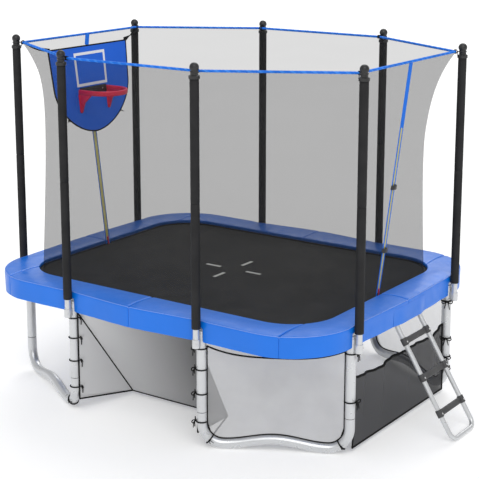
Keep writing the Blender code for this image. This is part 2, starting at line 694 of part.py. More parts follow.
def pad_inner_corner(degrees):
    centre_x = PAD_INNER_HALF_LENGTH - PAD_INNER_CORNER
    centre_y = PAD_INNER_HALF_WIDTH - PAD_INNER_CORNER
    return (centre_x + PAD_INNER_CORNER * math.cos(math.radians(degrees)),
            centre_y + PAD_INNER_CORNER * math.sin(math.radians(degrees)))


def seam_angles():
    """Corner angles at which the straight seam crosses the inner and outer edges."""
    inner = (PAD_SEAM_ALONG - PAD_INNER_HALF_LENGTH + PAD_INNER_CORNER) / PAD_INNER_CORNER
    outer = (PAD_SEAM_ALONG - PAD_OUTER_HALF_LENGTH + PAD_OUTER_CORNER) / PAD_OUTER_CORNER
    return math.degrees(math.acos(inner)), math.degrees(math.acos(outer))


def pad_ring(inner, outer, skirt_bottom, signs):
    """Cross-section of a pad between its inner and outer edge, foam and skirt."""
    inner, outer = Vector(inner), Vector(outer)
    width = (outer - inner).length
    across = (outer - inner) / width
    shoulder = PAD_TOP - PAD_SHOULDER_DROP
    lining = min(skirt_bottom, PAD_UNDERSIDE - 0.001)
    edge = min(0.035, width * 0.4)
    profile = [(0.0, PAD_UNDERSIDE), (0.0, PAD_TOP - 0.010), (edge * 0.4, PAD_TOP),
               (width * 0.5, PAD_TOP + PAD_CROWN), (width - edge, PAD_TOP),
               (width - 0.006, shoulder), (width, shoulder - 0.012), (width, lining),
               (width - SKIRT_THICKNESS, lining), (width - SKIRT_THICKNESS, PAD_UNDERSIDE)]
    ring = []
    for distance, height in profile:
        point = inner + across * distance
        ring.append(Vector((signs[0] * point.x, signs[1] * point.y, height)))
    return ring


def slot_stations(pole):
    """Distances along a side at which the outline changes near one pole."""
    half = SKIRT_SLOT_HALF_WIDTH
    step = 0.0005
    low = (pole - half, pole + half)
    return [(pole - POLE_DENT_REACH, SKIRT_BOTTOM), (low[0] - step, SKIRT_BOTTOM),
            (low[0], SKIRT_SLOT_TOP), (pole, SKIRT_SLOT_TOP), (low[1], SKIRT_SLOT_TOP),
            (low[1] + step, SKIRT_BOTTOM)]


def side_pad_stations():
    """Long-side pad: from the middle of the side to the seam at the corner."""
    stations = [(SEAM_GAP / 2, SKIRT_BOTTOM), (LEG_ALONG_LONG_SIDE * 0.28, SKIRT_BOTTOM),
                (LEG_ALONG_LONG_SIDE * 0.56, SKIRT_BOTTOM)]
    stations += slot_stations(LEG_ALONG_LONG_SIDE)
    stations.append((LEG_ALONG_LONG_SIDE + POLE_DENT_REACH, SKIRT_BOTTOM))
    rings = []
    straight = PAD_OUTER_HALF_LENGTH - PAD_OUTER_CORNER
    inner_straight = PAD_INNER_HALF_LENGTH - PAD_INNER_CORNER
    for x, bottom in stations:
        rings.append(((x, PAD_INNER_HALF_WIDTH), pad_outer_point(x, None, None), bottom))
    rings.append(((inner_straight, PAD_INNER_HALF_WIDTH), (straight, PAD_OUTER_HALF_WIDTH),
                  SKIRT_BOTTOM))
    inner_seam, outer_seam = seam_angles()
    for share in (1 / 3, 2 / 3, 1):
        inner = pad_inner_corner(90 + (inner_seam - 90) * share)
        outer = pad_outer_point(0, 0, 90 + (outer_seam - 90) * share)
        back = SEAM_GAP / 2 if share == 1 else 0
        rings.append(((inner[0] - back, inner[1]), (outer[0] - back, outer[1]), SKIRT_BOTTOM))
    return rings


def end_pad_stations(flap_edge):
    """Short-side pad: from the corner seam to the middle of the end. Where
    `flap_edge` is set the skirt stops there and a loose flap hangs instead."""
    rings = []
    inner_seam, outer_seam = seam_angles()
    for share in (0, 1 / 4, 1 / 2, 3 / 4, 1):
        inner = pad_inner_corner(inner_seam * (1 - share))
        outer = pad_outer_point(0, 0, outer_seam * (1 - share))
        forth = SEAM_GAP / 2 if share == 0 else 0
        rings.append(((inner[0] + forth, inner[1]), (outer[0] + forth, outer[1]), SKIRT_BOTTOM))
    straight = PAD_OUTER_HALF_WIDTH - PAD_OUTER_CORNER
    stations = [item for item in reversed(slot_stations(LEG_ALONG_SHORT_SIDE))
                if item[0] < straight - 0.002]
    stations += [(LEG_ALONG_SHORT_SIDE * 0.66, SKIRT_BOTTOM)]
    flap_top = PAD_UNDERSIDE - 0.001
    if flap_edge is not None:
        stations += [(flap_edge + 0.0005, SKIRT_BOTTOM), (flap_edge, flap_top)]
        stations += [(flap_edge * 0.5, flap_top), (SEAM_GAP / 2, flap_top)]
    else:
        stations += [(LEG_ALONG_SHORT_SIDE * 0.33, SKIRT_BOTTOM), (SEAM_GAP / 2, SKIRT_BOTTOM)]
    inner_straight = PAD_INNER_HALF_WIDTH - PAD_INNER_CORNER
    for y, bottom in stations:
        inner_y = y * inner_straight / straight if y > inner_straight else y
        rings.append(((PAD_INNER_HALF_LENGTH, min(inner_y, inner_straight - 0.002)),
                      pad_outer_point(None, y, None), bottom))
    return ordered_inner(rings)


def ordered_inner(rings):
    """Keep the inner edge's stations in order where the corner runs into the end."""
    inner_straight = PAD_INNER_HALF_WIDTH - PAD_INNER_CORNER
    late = [i for i, (inner, outer, bottom) in enumerate(rings)
            if i > 4 and outer[1] > inner_straight - 0.1]
    result = list(rings)
    top = inner_straight - 0.004
    for order, i in enumerate(late):
        inner, outer, bottom = rings[i]
        share = (order + 1) / (len(late) + 1)
        result[i] = ((inner[0], top - share * 0.1), outer, bottom)
    return result


def safety_pads(parent):
    """Two pads along each long side and two across each end, one mesh for each."""
    for corner, signs in CORNER_SIGNS.items():
        shape = bmesh.new()
        loft(shape, [pad_ring(*station, signs) for station in side_pad_stations()])
        piece(f"side_pad_{corner}", shape, "blue_vinyl", parent)
        flap_edge = None
        if signs[0] > 0:
            flap_edge = FLAP_HALF_WIDTH + signs[1] * LADDER_MIDDLE
        shape = bmesh.new()
        loft(shape, [pad_ring(*station, signs) for station in end_pad_stations(flap_edge)])
        piece(f"end_pad_{corner}", shape, "blue_vinyl", parent)


def ladder_flap(parent):
    """The part of the skirt that hangs over the ladder, free to lift with it."""
    shape = bmesh.new()
    top = PAD_UNDERSIDE - 0.001 - GAP
    rings = []
    for share in (-1, -0.5, 0, 0.5, 1):
        half = FLAP_HALF_WIDTH - GAP
        y = LADDER_MIDDLE + half * share
        outer = pad_outer_point(None, abs(y), None)[0]
        inner = outer - SKIRT_THICKNESS
        rings.append([(inner + FLAP_FLARE, y, SKIRT_BOTTOM), (outer + FLAP_FLARE, y, SKIRT_BOTTOM),
                      (outer, y, top), (inner, y, top)])
    loft(shape, rings)
    piece("ladder_flap", shape, "blue_vinyl", parent)


# ---------------------------------------------------------------- enclosure net
def inset_polygon(points, inset):
    """Corners of an anticlockwise polygon moved inward by a distance."""
    count = len(points)
    lines = []
    for i in range(count):
        a, b = points[i], points[(i + 1) % count]
        direction = (b - a).normalized()
        normal = Vector((direction.y, -direction.x))
        lines.append((normal, normal.dot(a) - inset))
    corners = []
    for i in range(count):
        (n1, d1), (n2, d2) = lines[i - 1], lines[i]
        det = n1.x * n2.y - n1.y * n2.x
        corners.append(Vector(((d1 * n2.y - d2 * n1.y) / det, (n1.x * d2 - n2.x * d1) / det)))
    return corners


def band_corners():
    return inset_polygon([Vector((x, y)) for x, y, out in POLES], BAND_INSET)


def rounded_box_at(direction, half_x, half_y, radius):
    """Where a ray from the middle meets a rounded rectangle."""
    across, up = abs(direction.x), abs(direction.y)
    if across > 1e-9 and half_x / across * up <= half_y - radius:
        return direction * (half_x / across)
    if up > 1e-9 and half_y / up * across <= half_x - radius:
        return direction * (half_y / up)
    centre = Vector((half_x - radius, half_y - radius))
    ahead = across * centre.x + up * centre.y
    return direction * (ahead + math.sqrt(ahead ** 2 - centre.length_squared + radius ** 2))


def board_face(z):
    """X of the board's back face at a height, on its leaning plane."""
    return BOARD_TOP_X + (BOARD_TOP - z) * BOARD_LEAN - BOARD_THICKNESS / 2


def net_point(top, z):
    """A point of the net below a point of its top edge: it swings from the octagon
    of the band, through an ellipse, to the rounded edge of the mat."""
    fall = (NET_TOP - z) / (NET_TOP - NET_BOTTOM)
    direction = top.normalized()
    low = rounded_box_at(direction, NET_BOTTOM_HALF_LENGTH, NET_BOTTOM_HALF_WIDTH,
                         NET_BOTTOM_CORNER)
    smooth = direction / math.sqrt((direction.x / NET_TOP_X) ** 2
                                   + (direction.y / NET_TOP_Y) ** 2)
    point = smooth.lerp(low, fall) + (top - smooth) * math.exp(-fall / NET_PINCH) * (1 - fall)
    board_low = BOARD_TOP - BOARD_SIDE_LENGTH - BOARD_ROUND_LENGTH
    beside = abs(point.y) < BOARD_TOP_HALF_WIDTH + BOARD_NET_MARGIN / 2
    if point.x < 0 and beside and z > board_low - BOARD_NET_MARGIN:
        behind = board_face(z) - 0.004
        point.x = min(point.x, behind)
    return Vector((point.x, point.y, z))


def safety_net(parent):
    """One closed sheet of netting. Two columns close together carry each zip."""
    shape = bmesh.new()
    corners = band_corners()
    falls = (0.0, 0.05, 0.12, 0.21, 0.32, 0.46, 0.63, 0.81, 1.0)
    heights = [NET_TOP - (NET_TOP - NET_BOTTOM) * fall for fall in falls]
    grid = []
    for i in range(len(corners)):
        a, b = corners[i], corners[(i + 1) % len(corners)]
        columns = (0.0, 0.13, 0.32, 0.5, 0.68, 0.87)
        if abs(a.x - b.x) < 0.01:
            columns = (0.0, 0.13, 0.32, 0.478, 0.522, 0.68, 0.87)
        grid += [[net_point(a.lerp(b, share), z) for z in heights] for share in columns]
    sheet_solid(shape, grid, NET_THICKNESS, closed=True)
    piece("safety_net", shape, "net_mesh", parent)


def sheet_solid(shape, grid, thickness, closed=False):
    """Thicken a grid of points (columns of rows) both ways along its normals."""
    columns, rows = len(grid), len(grid[0])
    front, back = [], []
    for i in range(columns):
        front.append([])
        back.append([])
        left = (i - 1) % columns if closed else max(i - 1, 0)
        right = (i + 1) % columns if closed else min(i + 1, columns - 1)
        for j in range(rows):
            across = grid[right][j] - grid[left][j]
            along = grid[i][min(j + 1, rows - 1)] - grid[i][max(j - 1, 0)]
            normal = across.cross(along).normalized() * (thickness / 2)
            front[i].append(shape.verts.new(grid[i][j] + normal))
            back[i].append(shape.verts.new(grid[i][j] - normal))
    for i in range(columns if closed else columns - 1):
        k = (i + 1) % columns
        for j in range(rows - 1):
            shape.faces.new((front[i][j], front[k][j], front[k][j + 1], front[i][j + 1]))
            shape.faces.new((back[i][j], back[i][j + 1], back[k][j + 1], back[k][j]))
        for j in (0, rows - 1):
            shape.faces.new((front[i][j], back[i][j], back[k][j], front[k][j]))
    if closed:
        return
    for j in range(rows - 1):
        for i in (0, columns - 1):
            shape.faces.new((front[i][j], front[i][j + 1], back[i][j + 1], back[i][j]))


def top_band(parent):
    shape = bmesh.new()
    path = [(corner.x, corner.y, BAND_HEIGHT) for corner in band_corners()]
    sweep(shape, path, (0, 0, 1), round_section(BAND_RADIUS, 6), closed=True)
    piece("top_band", shape, "blue_webbing", parent)


# ---------------------------------------------------------------- zip doors
def zip_frame(side):
    """A frame on the net's zip line: local X outward, Y across, Z up the zip. The
    right zip lies on the outside of the net, the left one on the inside."""
    up = Vector((side * ZIP_SLOPE, 0, 1)).normalized()
    out = Vector((1, 0, -side * ZIP_SLOPE)).normalized()
    across = up.cross(out)
    base = Vector((side * (NET_BOTTOM_HALF_LENGTH + ZIP_SLOPE * (ZIP_BOTTOM - NET_BOTTOM)),
                   0, ZIP_BOTTOM))
    turn = Matrix((out, across, up)).transposed().to_4x4()
    return Matrix.Translation(base) @ turn


def zip_tapes(parent):
    for name, side, top in (("right_zip_tape", 1, RIGHT_ZIP_TOP),
                            ("left_zip_tape", -1, LEFT_ZIP_TOP)):
        shape = bmesh.new()
        length = (top - ZIP_BOTTOM) * math.sqrt(1 + ZIP_SLOPE ** 2) + 2 * SLIDER_HEIGHT
        low = -SLIDER_HEIGHT
        offset = NET_THICKNESS / 2 + 2 * GAP + ZIP_THICKNESS / 2
        place = zip_frame(side) @ Matrix.Translation((offset, 0, low + length / 2))
        size = (ZIP_THICKNESS / 2, ZIP_WIDTH / 2)
        outline = [(-size[0], -size[1]), (size[0], -size[1]), (size[0], size[1]),
                   (-size[0], size[1])]
        prism(shape, outline, length, place)
        piece(name, shape, "blue_webbing", parent, smooth=False)


def zip_slider(name, side, parent):
    """Slider body with a waist, and a hanging pull."""
    shape = bmesh.new()
    offset = NET_THICKNESS / 2 + ZIP_THICKNESS + 3 * GAP + SLIDER_THICKNESS / 2
    half_w, half_h = SLIDER_WIDTH / 2, SLIDER_HEIGHT / 2
    outline = [(-half_w * 0.6, -half_h), (half_w * 0.6, -half_h), (half_w * 0.5, 0),
               (half_w, half_h * 0.5), (half_w, half_h), (-half_w, half_h),
               (-half_w, half_h * 0.5), (-half_w * 0.5, 0)]
    flat = Matrix(((0, 0, 1, 0), (1, 0, 0, 0), (0, 1, 0, 0), (0, 0, 0, 1)))
    place = zip_frame(side) @ Matrix.Translation((offset, 0, half_h)) @ flat
    prism(shape, outline, SLIDER_THICKNESS, place)
    pull_half = SLIDER_WIDTH * 0.3
    slider = piece(name, shape, "red_plastic", parent, smooth=False)
    pull = [(-pull_half, -SLIDER_PULL_LENGTH), (pull_half, -SLIDER_PULL_LENGTH),
            (pull_half * 0.6, half_h), (-pull_half * 0.6, half_h)]
    pull_thickness = SLIDER_THICKNESS * 0.5
    tool = bmesh.new()
    drop = Matrix.Translation((offset + SLIDER_THICKNESS / 2, 0, 0))
    prism(tool, pull, pull_thickness, zip_frame(side) @ drop @ flat)
    combine(slider, piece("pull_tool", tool, "red_plastic", parent, smooth=False), "UNION")


def door_buckles(parent):
    """Two clips that bridge the right zip, high enough for the slider to pass."""
    base = NET_THICKNESS / 2 + ZIP_THICKNESS + 3 * GAP
    half = BUCKLE_WIDTH / 2
    foot = half + 0.012
    high = base + BUCKLE_STAND_OFF
    inner = SLIDER_WIDTH / 2 + 0.004
    on_net = NET_THICKNESS / 2 + GAP
    edge = ZIP_WIDTH / 2 + 0.001
    outline = [(on_net, foot), (on_net, edge), (base, edge), (base, inner), (high, inner),
               (high, -inner), (base, -inner), (base, -edge), (on_net, -edge),
               (on_net, -foot), (on_net + 0.002, -foot),
               (high + BUCKLE_BODY_THICKNESS * 0.6, -half),
               (high + BUCKLE_BODY_THICKNESS, -half * 0.7),
               (high + BUCKLE_BODY_THICKNESS, half * 0.7),
               (high + BUCKLE_BODY_THICKNESS * 0.6, half), (on_net + 0.002, foot)]
    for name, height in zip(("lower", "upper"), BUCKLE_HEIGHTS):
        rise = (height - ZIP_BOTTOM) * math.sqrt(1 + ZIP_SLOPE ** 2)
        shape = bmesh.new()
        prism(shape, outline, BUCKLE_BODY_HEIGHT,
              zip_frame(1) @ Matrix.Translation((0, 0, rise)))
        piece(f"door_buckle_{name}", shape, "black_plastic", parent, smooth=False)


# ---------------------------------------------------------------- board and hoop
def board_frame():
    """Frame of the leaning board: local X across, Y up the board, Z to its front."""
    up = Vector((-BOARD_LEAN, 0, 1)).normalized()
    front = Vector((1, 0, BOARD_LEAN)).normalized()
    across = up.cross(front)
    turn = Matrix((across, up, front)).transposed().to_4x4()
    return Matrix.Translation((BOARD_TOP_X, 0, BOARD_TOP)) @ turn


def board_outline():
    """Shield outline: straight sides that run into a pointed oval below."""
    side = [(BOARD_TOP_HALF_WIDTH, 0.0), (BOARD_SIDE_HALF_WIDTH, -BOARD_SIDE_LENGTH)]
    steps = 7
    for i in range(1, steps):
        angle = math.pi / 2 * i / steps
        power = 2 / BOARD_ROUND_POWER
        side.append((BOARD_SIDE_HALF_WIDTH * math.cos(angle) ** power,
                     -BOARD_SIDE_LENGTH - BOARD_ROUND_LENGTH * math.sin(angle) ** power))
    point = [(0.0, -BOARD_SIDE_LENGTH - BOARD_ROUND_LENGTH)]
    return side + point + [(-x, y) for x, y in reversed(side)]


def ball_board(parent):
    shape = bmesh.new()
    prism(shape, board_outline(), BOARD_THICKNESS, board_frame())
    piece("ball_board", shape, "blue_vinyl", parent)


def board_straps(parent):
    """Webbing along the board's top edge, with a strap up to the band in the middle
    and one out to the band's corner at each side."""
    edge = bmesh.new()
    half = BOARD_TOP_HALF_WIDTH
    low, high = GAP, GAP + STRAP_THICKNESS * 1.4
    prism(edge, [(-half, low), (half, low), (half, high), (-half, high)],
          BOARD_THICKNESS, board_frame())
    straps = piece("board_straps", edge, "black_webbing", parent, smooth=False)
    risers = bmesh.new()
    foot = BOARD_TOP + GAP + STRAP_THICKNESS * 0.7
    sweep(risers, [(BOARD_TOP_X, STRAP_MIDDLE, foot),
                   (-NET_TOP_X + BAND_RADIUS + GAP + STRAP_THICKNESS * 0.47, STRAP_MIDDLE,
                    BAND_HEIGHT + STRAP_THICKNESS * 0.23)],
          (0, 1, 0), bar_section(STRAP_THICKNESS, STRAP_WIDTH))
    for corner in band_corners():
        if corner.x > 0 or abs(corner.y) > FRAME_HALF_WIDTH * 0.8:
            continue
        side = math.copysign(1, corner.y)
        start = Vector((BOARD_TOP_X, side * (half - 0.012), foot))
        end = Vector((corner.x + BAND_RADIUS * 1.5, corner.y - side * BAND_RADIUS * 2.2,
                      BAND_HEIGHT - 0.010))
        run = (end - start).normalized()
        upright = (Vector((0, 0, 1)) - run * run.z).normalized()
        sweep(risers, [start, end], upright, bar_section(STRAP_THICKNESS, STRAP_THICKNESS * 1.2))
    combine(straps, piece("riser_tool", risers, "black_webbing", parent, smooth=False), "UNION")


def hoop_plate(parent):
    shape = bmesh.new()
    half = HOOP_RADIUS - HOOP_BAND_THICKNESS / 2 - GAP * 2
    middle = (HOOP_HEIGHT - BOARD_TOP) * math.sqrt(1 + BOARD_LEAN ** 2)
    low, high = middle - HOOP_PLATE_HEIGHT / 2, middle + HOOP_PLATE_HEIGHT / 2
    lift = BOARD_THICKNESS / 2 + GAP + HOOP_PLATE_THICKNESS / 2
    prism(shape, [(-half, low), (half, low), (half, high), (-half, high)],
          HOOP_PLATE_THICKNESS, board_frame() @ Matrix.Translation((0, 0, lift)))
    piece("hoop_plate", shape, "black_plastic", parent, smooth=False)


def front_face(z):
    """X just in front of the board's front face at a height."""
    return BOARD_TOP_X + (BOARD_TOP - z) * BOARD_LEAN + BOARD_THICKNESS / 2 + 2 * GAP


def ball_hoop(parent):
    """An open ring on two arms, with a triangular gusset below each arm."""
    shape = bmesh.new()
    root = front_face(HOOP_HEIGHT - HOOP_BAND_HEIGHT / 2)
    centre = root + HOOP_ARM_LENGTH
    ring = [(root, -HOOP_RADIUS), *arc((centre, 0), HOOP_RADIUS, -90, 90, 12),
            (root, HOOP_RADIUS)]
    half_t, half_h = HOOP_BAND_THICKNESS / 2, HOOP_BAND_HEIGHT / 2
    section = [(-half_t, -half_h * 0.6), (0.0, -half_h), (half_t, -half_h * 0.6),
               (half_t, half_h * 0.6), (0.0, half_h), (-half_t, half_h * 0.6)]
    sweep(shape, [(x, y, HOOP_HEIGHT) for x, y in ring], (0, 0, 1), section)
    hoop = piece("ball_hoop", shape, "red_plastic", parent)
    bottom = HOOP_HEIGHT - half_h
    tip = bottom - GUSSET_DEPTH
    for side in (-1, 1):
        gusset = bmesh.new()
        outline = [(front_face(bottom), bottom + half_h * 0.5),
                   (front_face(bottom), bottom), (front_face(tip), tip),
                   (front_face(bottom) + HOOP_ARM_LENGTH, bottom),
                   (front_face(bottom) + HOOP_ARM_LENGTH, bottom + half_h * 0.5)]
        upright = Matrix.Translation((0, side * HOOP_RADIUS, 0)) @ Matrix.Rotation(
            math.pi / 2, 4, "X")
        prism(gusset, outline, GUSSET_THICKNESS, upright)
        combine(hoop, piece("gusset_tool", gusset, "red_plastic", parent), "UNION")


# ---------------------------------------------------------------- ladder
def ladder_frame_axes():
    """Frame on the hook's hinge line: local X along Y, Y down the ladder, Z outward."""
    angle = math.radians(LADDER_ANGLE)
    down = Vector((math.sin(angle), 0, -math.cos(angle)))
    out = Vector((math.cos(angle), 0, math.sin(angle)))
    across = down.cross(out)
    turn = Matrix((across, down, out)).transposed().to_4x4()
    return Matrix.Translation((FRAME_HALF_LENGTH, LADDER_MIDDLE, RAIL_HEIGHT)) @ turn


def ladder_length():
    """From the hinge line to the centre of the bottom bar, resting on the ground."""
    angle = math.radians(LADDER_ANGLE)
    depth = LADDER_SET_BACK * math.sin(angle)
    return (RAIL_HEIGHT - depth - LADDER_TUBE_RADIUS) / math.cos(angle)


def ladder_tubes(parent):
    """One bent tube: down one side, across the ground and up the other side, with
    flat hooks welded to its ends."""
    place = ladder_frame_axes()
    length = ladder_length()
    radius = LADDER_CORNER_RADIUS
    half = LADDER_HALF_WIDTH
    outline = [(-half, LADDER_TUBE_START)]
    outline += arc((-half + radius, length - radius), radius, 180, 90, 4)
    outline += arc((half - radius, length - radius), radius, 90, 0, 4)
    outline.append((half, LADDER_TUBE_START))
    shape = bmesh.new()
    path = [place @ Vector((x, y, -LADDER_SET_BACK)) for x, y in outline]
    across = place.to_3x3() @ Vector((0, 0, 1))
    sweep(shape, path, across, round_section(LADDER_TUBE_RADIUS, POST_SIDES))
    ladder = piece("ladder_tubes", shape, "galvanised", parent)
    steps = 8
    start, end = math.radians(HOOK_START_ANGLE), math.radians(HOOK_END_ANGLE)
    inner_radius = (RAIL_RADIUS + GAP) / math.cos((end - start) / steps / 2)
    bend_radius = inner_radius + HOOK_THICKNESS / 2
    for side in (-1, 1):
        tool = bmesh.new()
        tail = (math.cos(start) * bend_radius + math.sin(start) * HOOK_TAIL,
                math.sin(start) * bend_radius - math.cos(start) * HOOK_TAIL)
        hook = [tail]
        for i in range(steps + 1):
            angle = start + (end - start) * i / steps
            hook.append((bend_radius * math.cos(angle), bend_radius * math.sin(angle)))
        hook_path = [place @ Vector((side * half, down, out)) for down, out in hook]
        sweep(tool, hook_path, (0, 1, 0), bar_section(HOOK_THICKNESS, HOOK_WIDTH))
        combine(ladder, piece("hook_tool", tool, "galvanised", parent), "UNION")


def step_down(height):
    """Distance down the ladder at which the tube's centre is at a height."""
    angle = math.radians(LADDER_ANGLE)
    return (RAIL_HEIGHT - LADDER_SET_BACK * math.sin(angle) - height) / math.cos(angle)


def ladder_steps(parent):
    """Moulded treads with a sleeve round each side tube and a screw in each sleeve."""
    frame = ladder_frame_axes()
    turn = Matrix.Rotation(-math.pi / 2, 4, "X")
    outer = LADDER_BORE + STEP_SLEEVE_WALL
    half_d, half_t = TREAD_DEPTH / 2, TREAD_THICKNESS / 2
    section = [(-half_d, half_t), (-half_d, -half_t), (half_d, -half_t), (half_d, half_t),
               (half_d / 2, half_t * 1.5), (-half_d / 2, half_t * 1.5)]
    for number, height in enumerate(STEP_HEIGHTS, start=1):
        down = step_down(height)
        place = frame @ Matrix.Translation((0, down, -LADDER_SET_BACK))
        half = LADDER_HALF_WIDTH - LADDER_BORE - STEP_SLEEVE_WALL * 0.4
        shape = bmesh.new()
        sweep(shape, [place @ Vector((side * half, 0, 0)) for side in (-1, 1)],
              place.to_3x3() @ Vector((0, 0, 1)), section)
        step = piece(f"ladder_step_{number}", shape, "grey_plastic", parent)
        sleeves, screws = bmesh.new(), bmesh.new()
        for side in (-1, 1):
            spot = place @ Matrix.Translation((side * LADDER_HALF_WIDTH,
                                               -STEP_SLEEVE_LENGTH / 2, 0))
            lathe(sleeves, [(LADDER_BORE, 0.0), (outer, 0.0), (outer, STEP_SLEEVE_LENGTH),
                            (LADDER_BORE, STEP_SLEEVE_LENGTH)], POST_SIDES, spot @ turn, True)
            lathe(screws, [(0.0, outer - STEP_SLEEVE_WALL * 0.6),
                           (BOLT_RADIUS, outer - STEP_SLEEVE_WALL * 0.6),
                           (BOLT_RADIUS, outer + BOLT_HEAD * 0.5), (0.0, outer + BOLT_HEAD * 0.5)],
                  8, spot @ Matrix.Translation((0, STEP_SLEEVE_LENGTH * 0.62, 0)))
        combine(step, piece("sleeve_tool", sleeves, "grey_plastic", parent), "UNION")
        combine(step, piece("screw_tool", screws, "grey_plastic", parent), "UNION")


# ---------------------------------------------------------------- nets below the frame
def tie_rings(shape, leg, heights, beside=None):
    """Cord ties round a post, facet on facet. A tie is open where it would cross the
    net towards the `beside` leg, on the post's other side."""
    x, y, out = LEGS[leg]
    mate = next(sum(pair) - leg for pair in FOOT_PAIRS.values() if leg in pair)
    first = math.atan2(LEGS[mate][1] - y, LEGS[mate][0] - x)
    angles = [first + 2 * math.pi * k / POST_SIDES for k in range(POST_SIDES)]
    if beside is not None:
        way = math.atan2(LEGS[beside][1] - y, LEGS[beside][0] - x)
        free = math.radians(TIE_OPENING / 2)
        turned = sorted((angle - way) % (2 * math.pi) for angle in angles)
        angles = [way + turn for turn in turned if free < turn < 2 * math.pi - free]
    wire = [(-a, b) for a, b in round_section(TIE_CORD, 3)]
    for height in heights:
        ring = [(x + TIE_RADIUS * math.cos(angle), y + TIE_RADIUS * math.sin(angle), height)
                for angle in angles]
        sweep(shape, ring, (0, 0, 1), wire, closed=beside is None)


def goal_net(parent):
    """A wedge of netting under the front long side: two sides and a sloping back."""
    front = -FRAME_HALF_WIDTH
    edge = LEG_ALONG_LONG_SIDE - NET_POST_EDGE
    thickness = LOWER_NET_THICKNESS
    corners = [Vector((-edge, front, LOWER_NET_TOP)), Vector((edge, front, LOWER_NET_TOP)),
               Vector((GOAL_BACK_HALF_WIDTH, GOAL_BACK_Y, GOAL_BACK_HEIGHT)),
               Vector((-GOAL_BACK_HALF_WIDTH, GOAL_BACK_Y, GOAL_BACK_HEIGHT))]
    normal = (corners[1] - corners[0]).cross(corners[3] - corners[0]).normalized()
    normal *= thickness / 2
    shape = bmesh.new()
    loft(shape, [[p + normal for p in corners], [p - normal for p in corners]])
    net = piece("goal_net", shape, "pale_net", parent)
    sides = bmesh.new()
    for side in (-1, 1):
        top = Vector((side * edge, front, LOWER_NET_TOP + 0.004))
        foot = Vector((side * edge, front, GOAL_SIDE_FOOT))
        back = Vector((side * GOAL_BACK_HALF_WIDTH, GOAL_BACK_Y - 0.004, GOAL_BACK_HEIGHT - 0.004))
        rise = Vector((side * GOAL_BACK_HALF_WIDTH, GOAL_BACK_Y + 0.003, GOAL_BACK_HEIGHT + 0.003))
        outline = (top, foot, back, rise)
        normal = (foot - top).cross(back - top).normalized() * (thickness / 2)
        loft(sides, [[p + normal for p in outline], [p - normal for p in outline]])
    combine(net, piece("side_tool", sides, "pale_net", parent), "UNION")
    ties = bmesh.new()
    tie_rings(ties, 0, GOAL_TIE_HEIGHTS)
    tie_rings(ties, 1, GOAL_TIE_HEIGHTS, beside=2)
    combine(net, piece("tie_tool", ties, "pale_net", parent), "UNION")


def corner_net(shape, corner):
    """A flat net between the two posts of a pair, down to their foot tube."""
    first, second = (Vector((*LEGS[leg][:2], 0)) for leg in FOOT_PAIRS[corner])
    along = (second - first).normalized()
    span = (second - first).length
    edge = NET_POST_EDGE
    left, right = foot_bend(span, FOOT_BEND_RADIUS - edge, 4)
    hump = [(s, z + edge) for s, z in foot_hump(span)]
    hem = []
    for share in (1, 5 / 6, 2 / 3, 1 / 2, 1 / 3, 1 / 6, 0):
        sag = CORNER_NET_SAG * 4 * share * (1 - share)
        hem.append((edge + (span - 2 * edge) * share, CORNER_NET_TOP - sag))
    outline = left + hump + right + hem
    up = Vector((0, 0, 1))
    turn = Matrix((along, up, along.cross(up))).transposed().to_4x4()
    prism(shape, outline, LOWER_NET_THICKNESS, Matrix.Translation(first) @ turn)


def pale_nets(parent):
    """Nets across the right-hand corners, the back one joined to the long back net."""
    shape = bmesh.new()
    corner_net(shape, "front_right")
    net = piece("front_corner_net", shape, "pale_net", parent)
    ties = bmesh.new()
    tie_rings(ties, 1, CORNER_TIE_HEIGHTS, beside=0)
    tie_rings(ties, 2, CORNER_TIE_HEIGHTS, beside=3)
    combine(net, piece("tie_tool", ties, "pale_net", parent), "UNION")
    shape = bmesh.new()
    corner_net(shape, "back_right")
    net = piece("back_net", shape, "pale_net", parent)
    others = bmesh.new()
    half = LEG_ALONG_LONG_SIDE - NET_POST_EDGE
    block(others, (0, FRAME_HALF_WIDTH, (LOWER_NET_TOP + BACK_NET_BOTTOM) / 2),
          (2 * half, LOWER_NET_THICKNESS, LOWER_NET_TOP - BACK_NET_BOTTOM))
    combine(net, piece("back_tool", others, "pale_net", parent), "UNION")
    ties = bmesh.new()
    tie_rings(ties, 3, CORNER_TIE_HEIGHTS, beside=2)
    tie_rings(ties, 4, BACK_TIE_HEIGHTS)
    tie_rings(ties, 5, BACK_TIE_HEIGHTS)
    combine(net, piece("tie_tool", ties, "pale_net", parent), "UNION")


def end_net(parent):
    """The dark net under the right end, gathered into shallow upright folds."""
    shape = bmesh.new()
    half = LEG_ALONG_SHORT_SIDE - NET_POST_EDGE
    columns, rows = 20, 4
    grid = []
    for i in range(columns + 1):
        share = i / columns
        y = -half + 2 * half * share
        sag = 0.035 * math.sin(math.pi * share)
        top = END_NET_TOP - sag
        fold = END_NET_FOLD * math.sin(2 * math.pi * END_NET_FOLD_COUNT * share)
        line = []
        for j in range(rows + 1):
            drop = j / rows
            x = FRAME_HALF_LENGTH + fold * math.sin(math.pi * min(drop + 0.25, 1.0))
            line.append(Vector((x, y, top + (END_NET_BOTTOM - top) * drop)))
        grid.append(line)
    sheet_solid(shape, grid, LOWER_NET_THICKNESS)
    net = piece("end_net", shape, "dark_net", parent)
    ties = bmesh.new()
    tie_rings(ties, 2, END_TIE_HEIGHTS, beside=1)
    tie_rings(ties, 3, END_TIE_HEIGHTS, beside=4)
    combine(net, piece("tie_tool", ties, "dark_net", parent), "UNION")


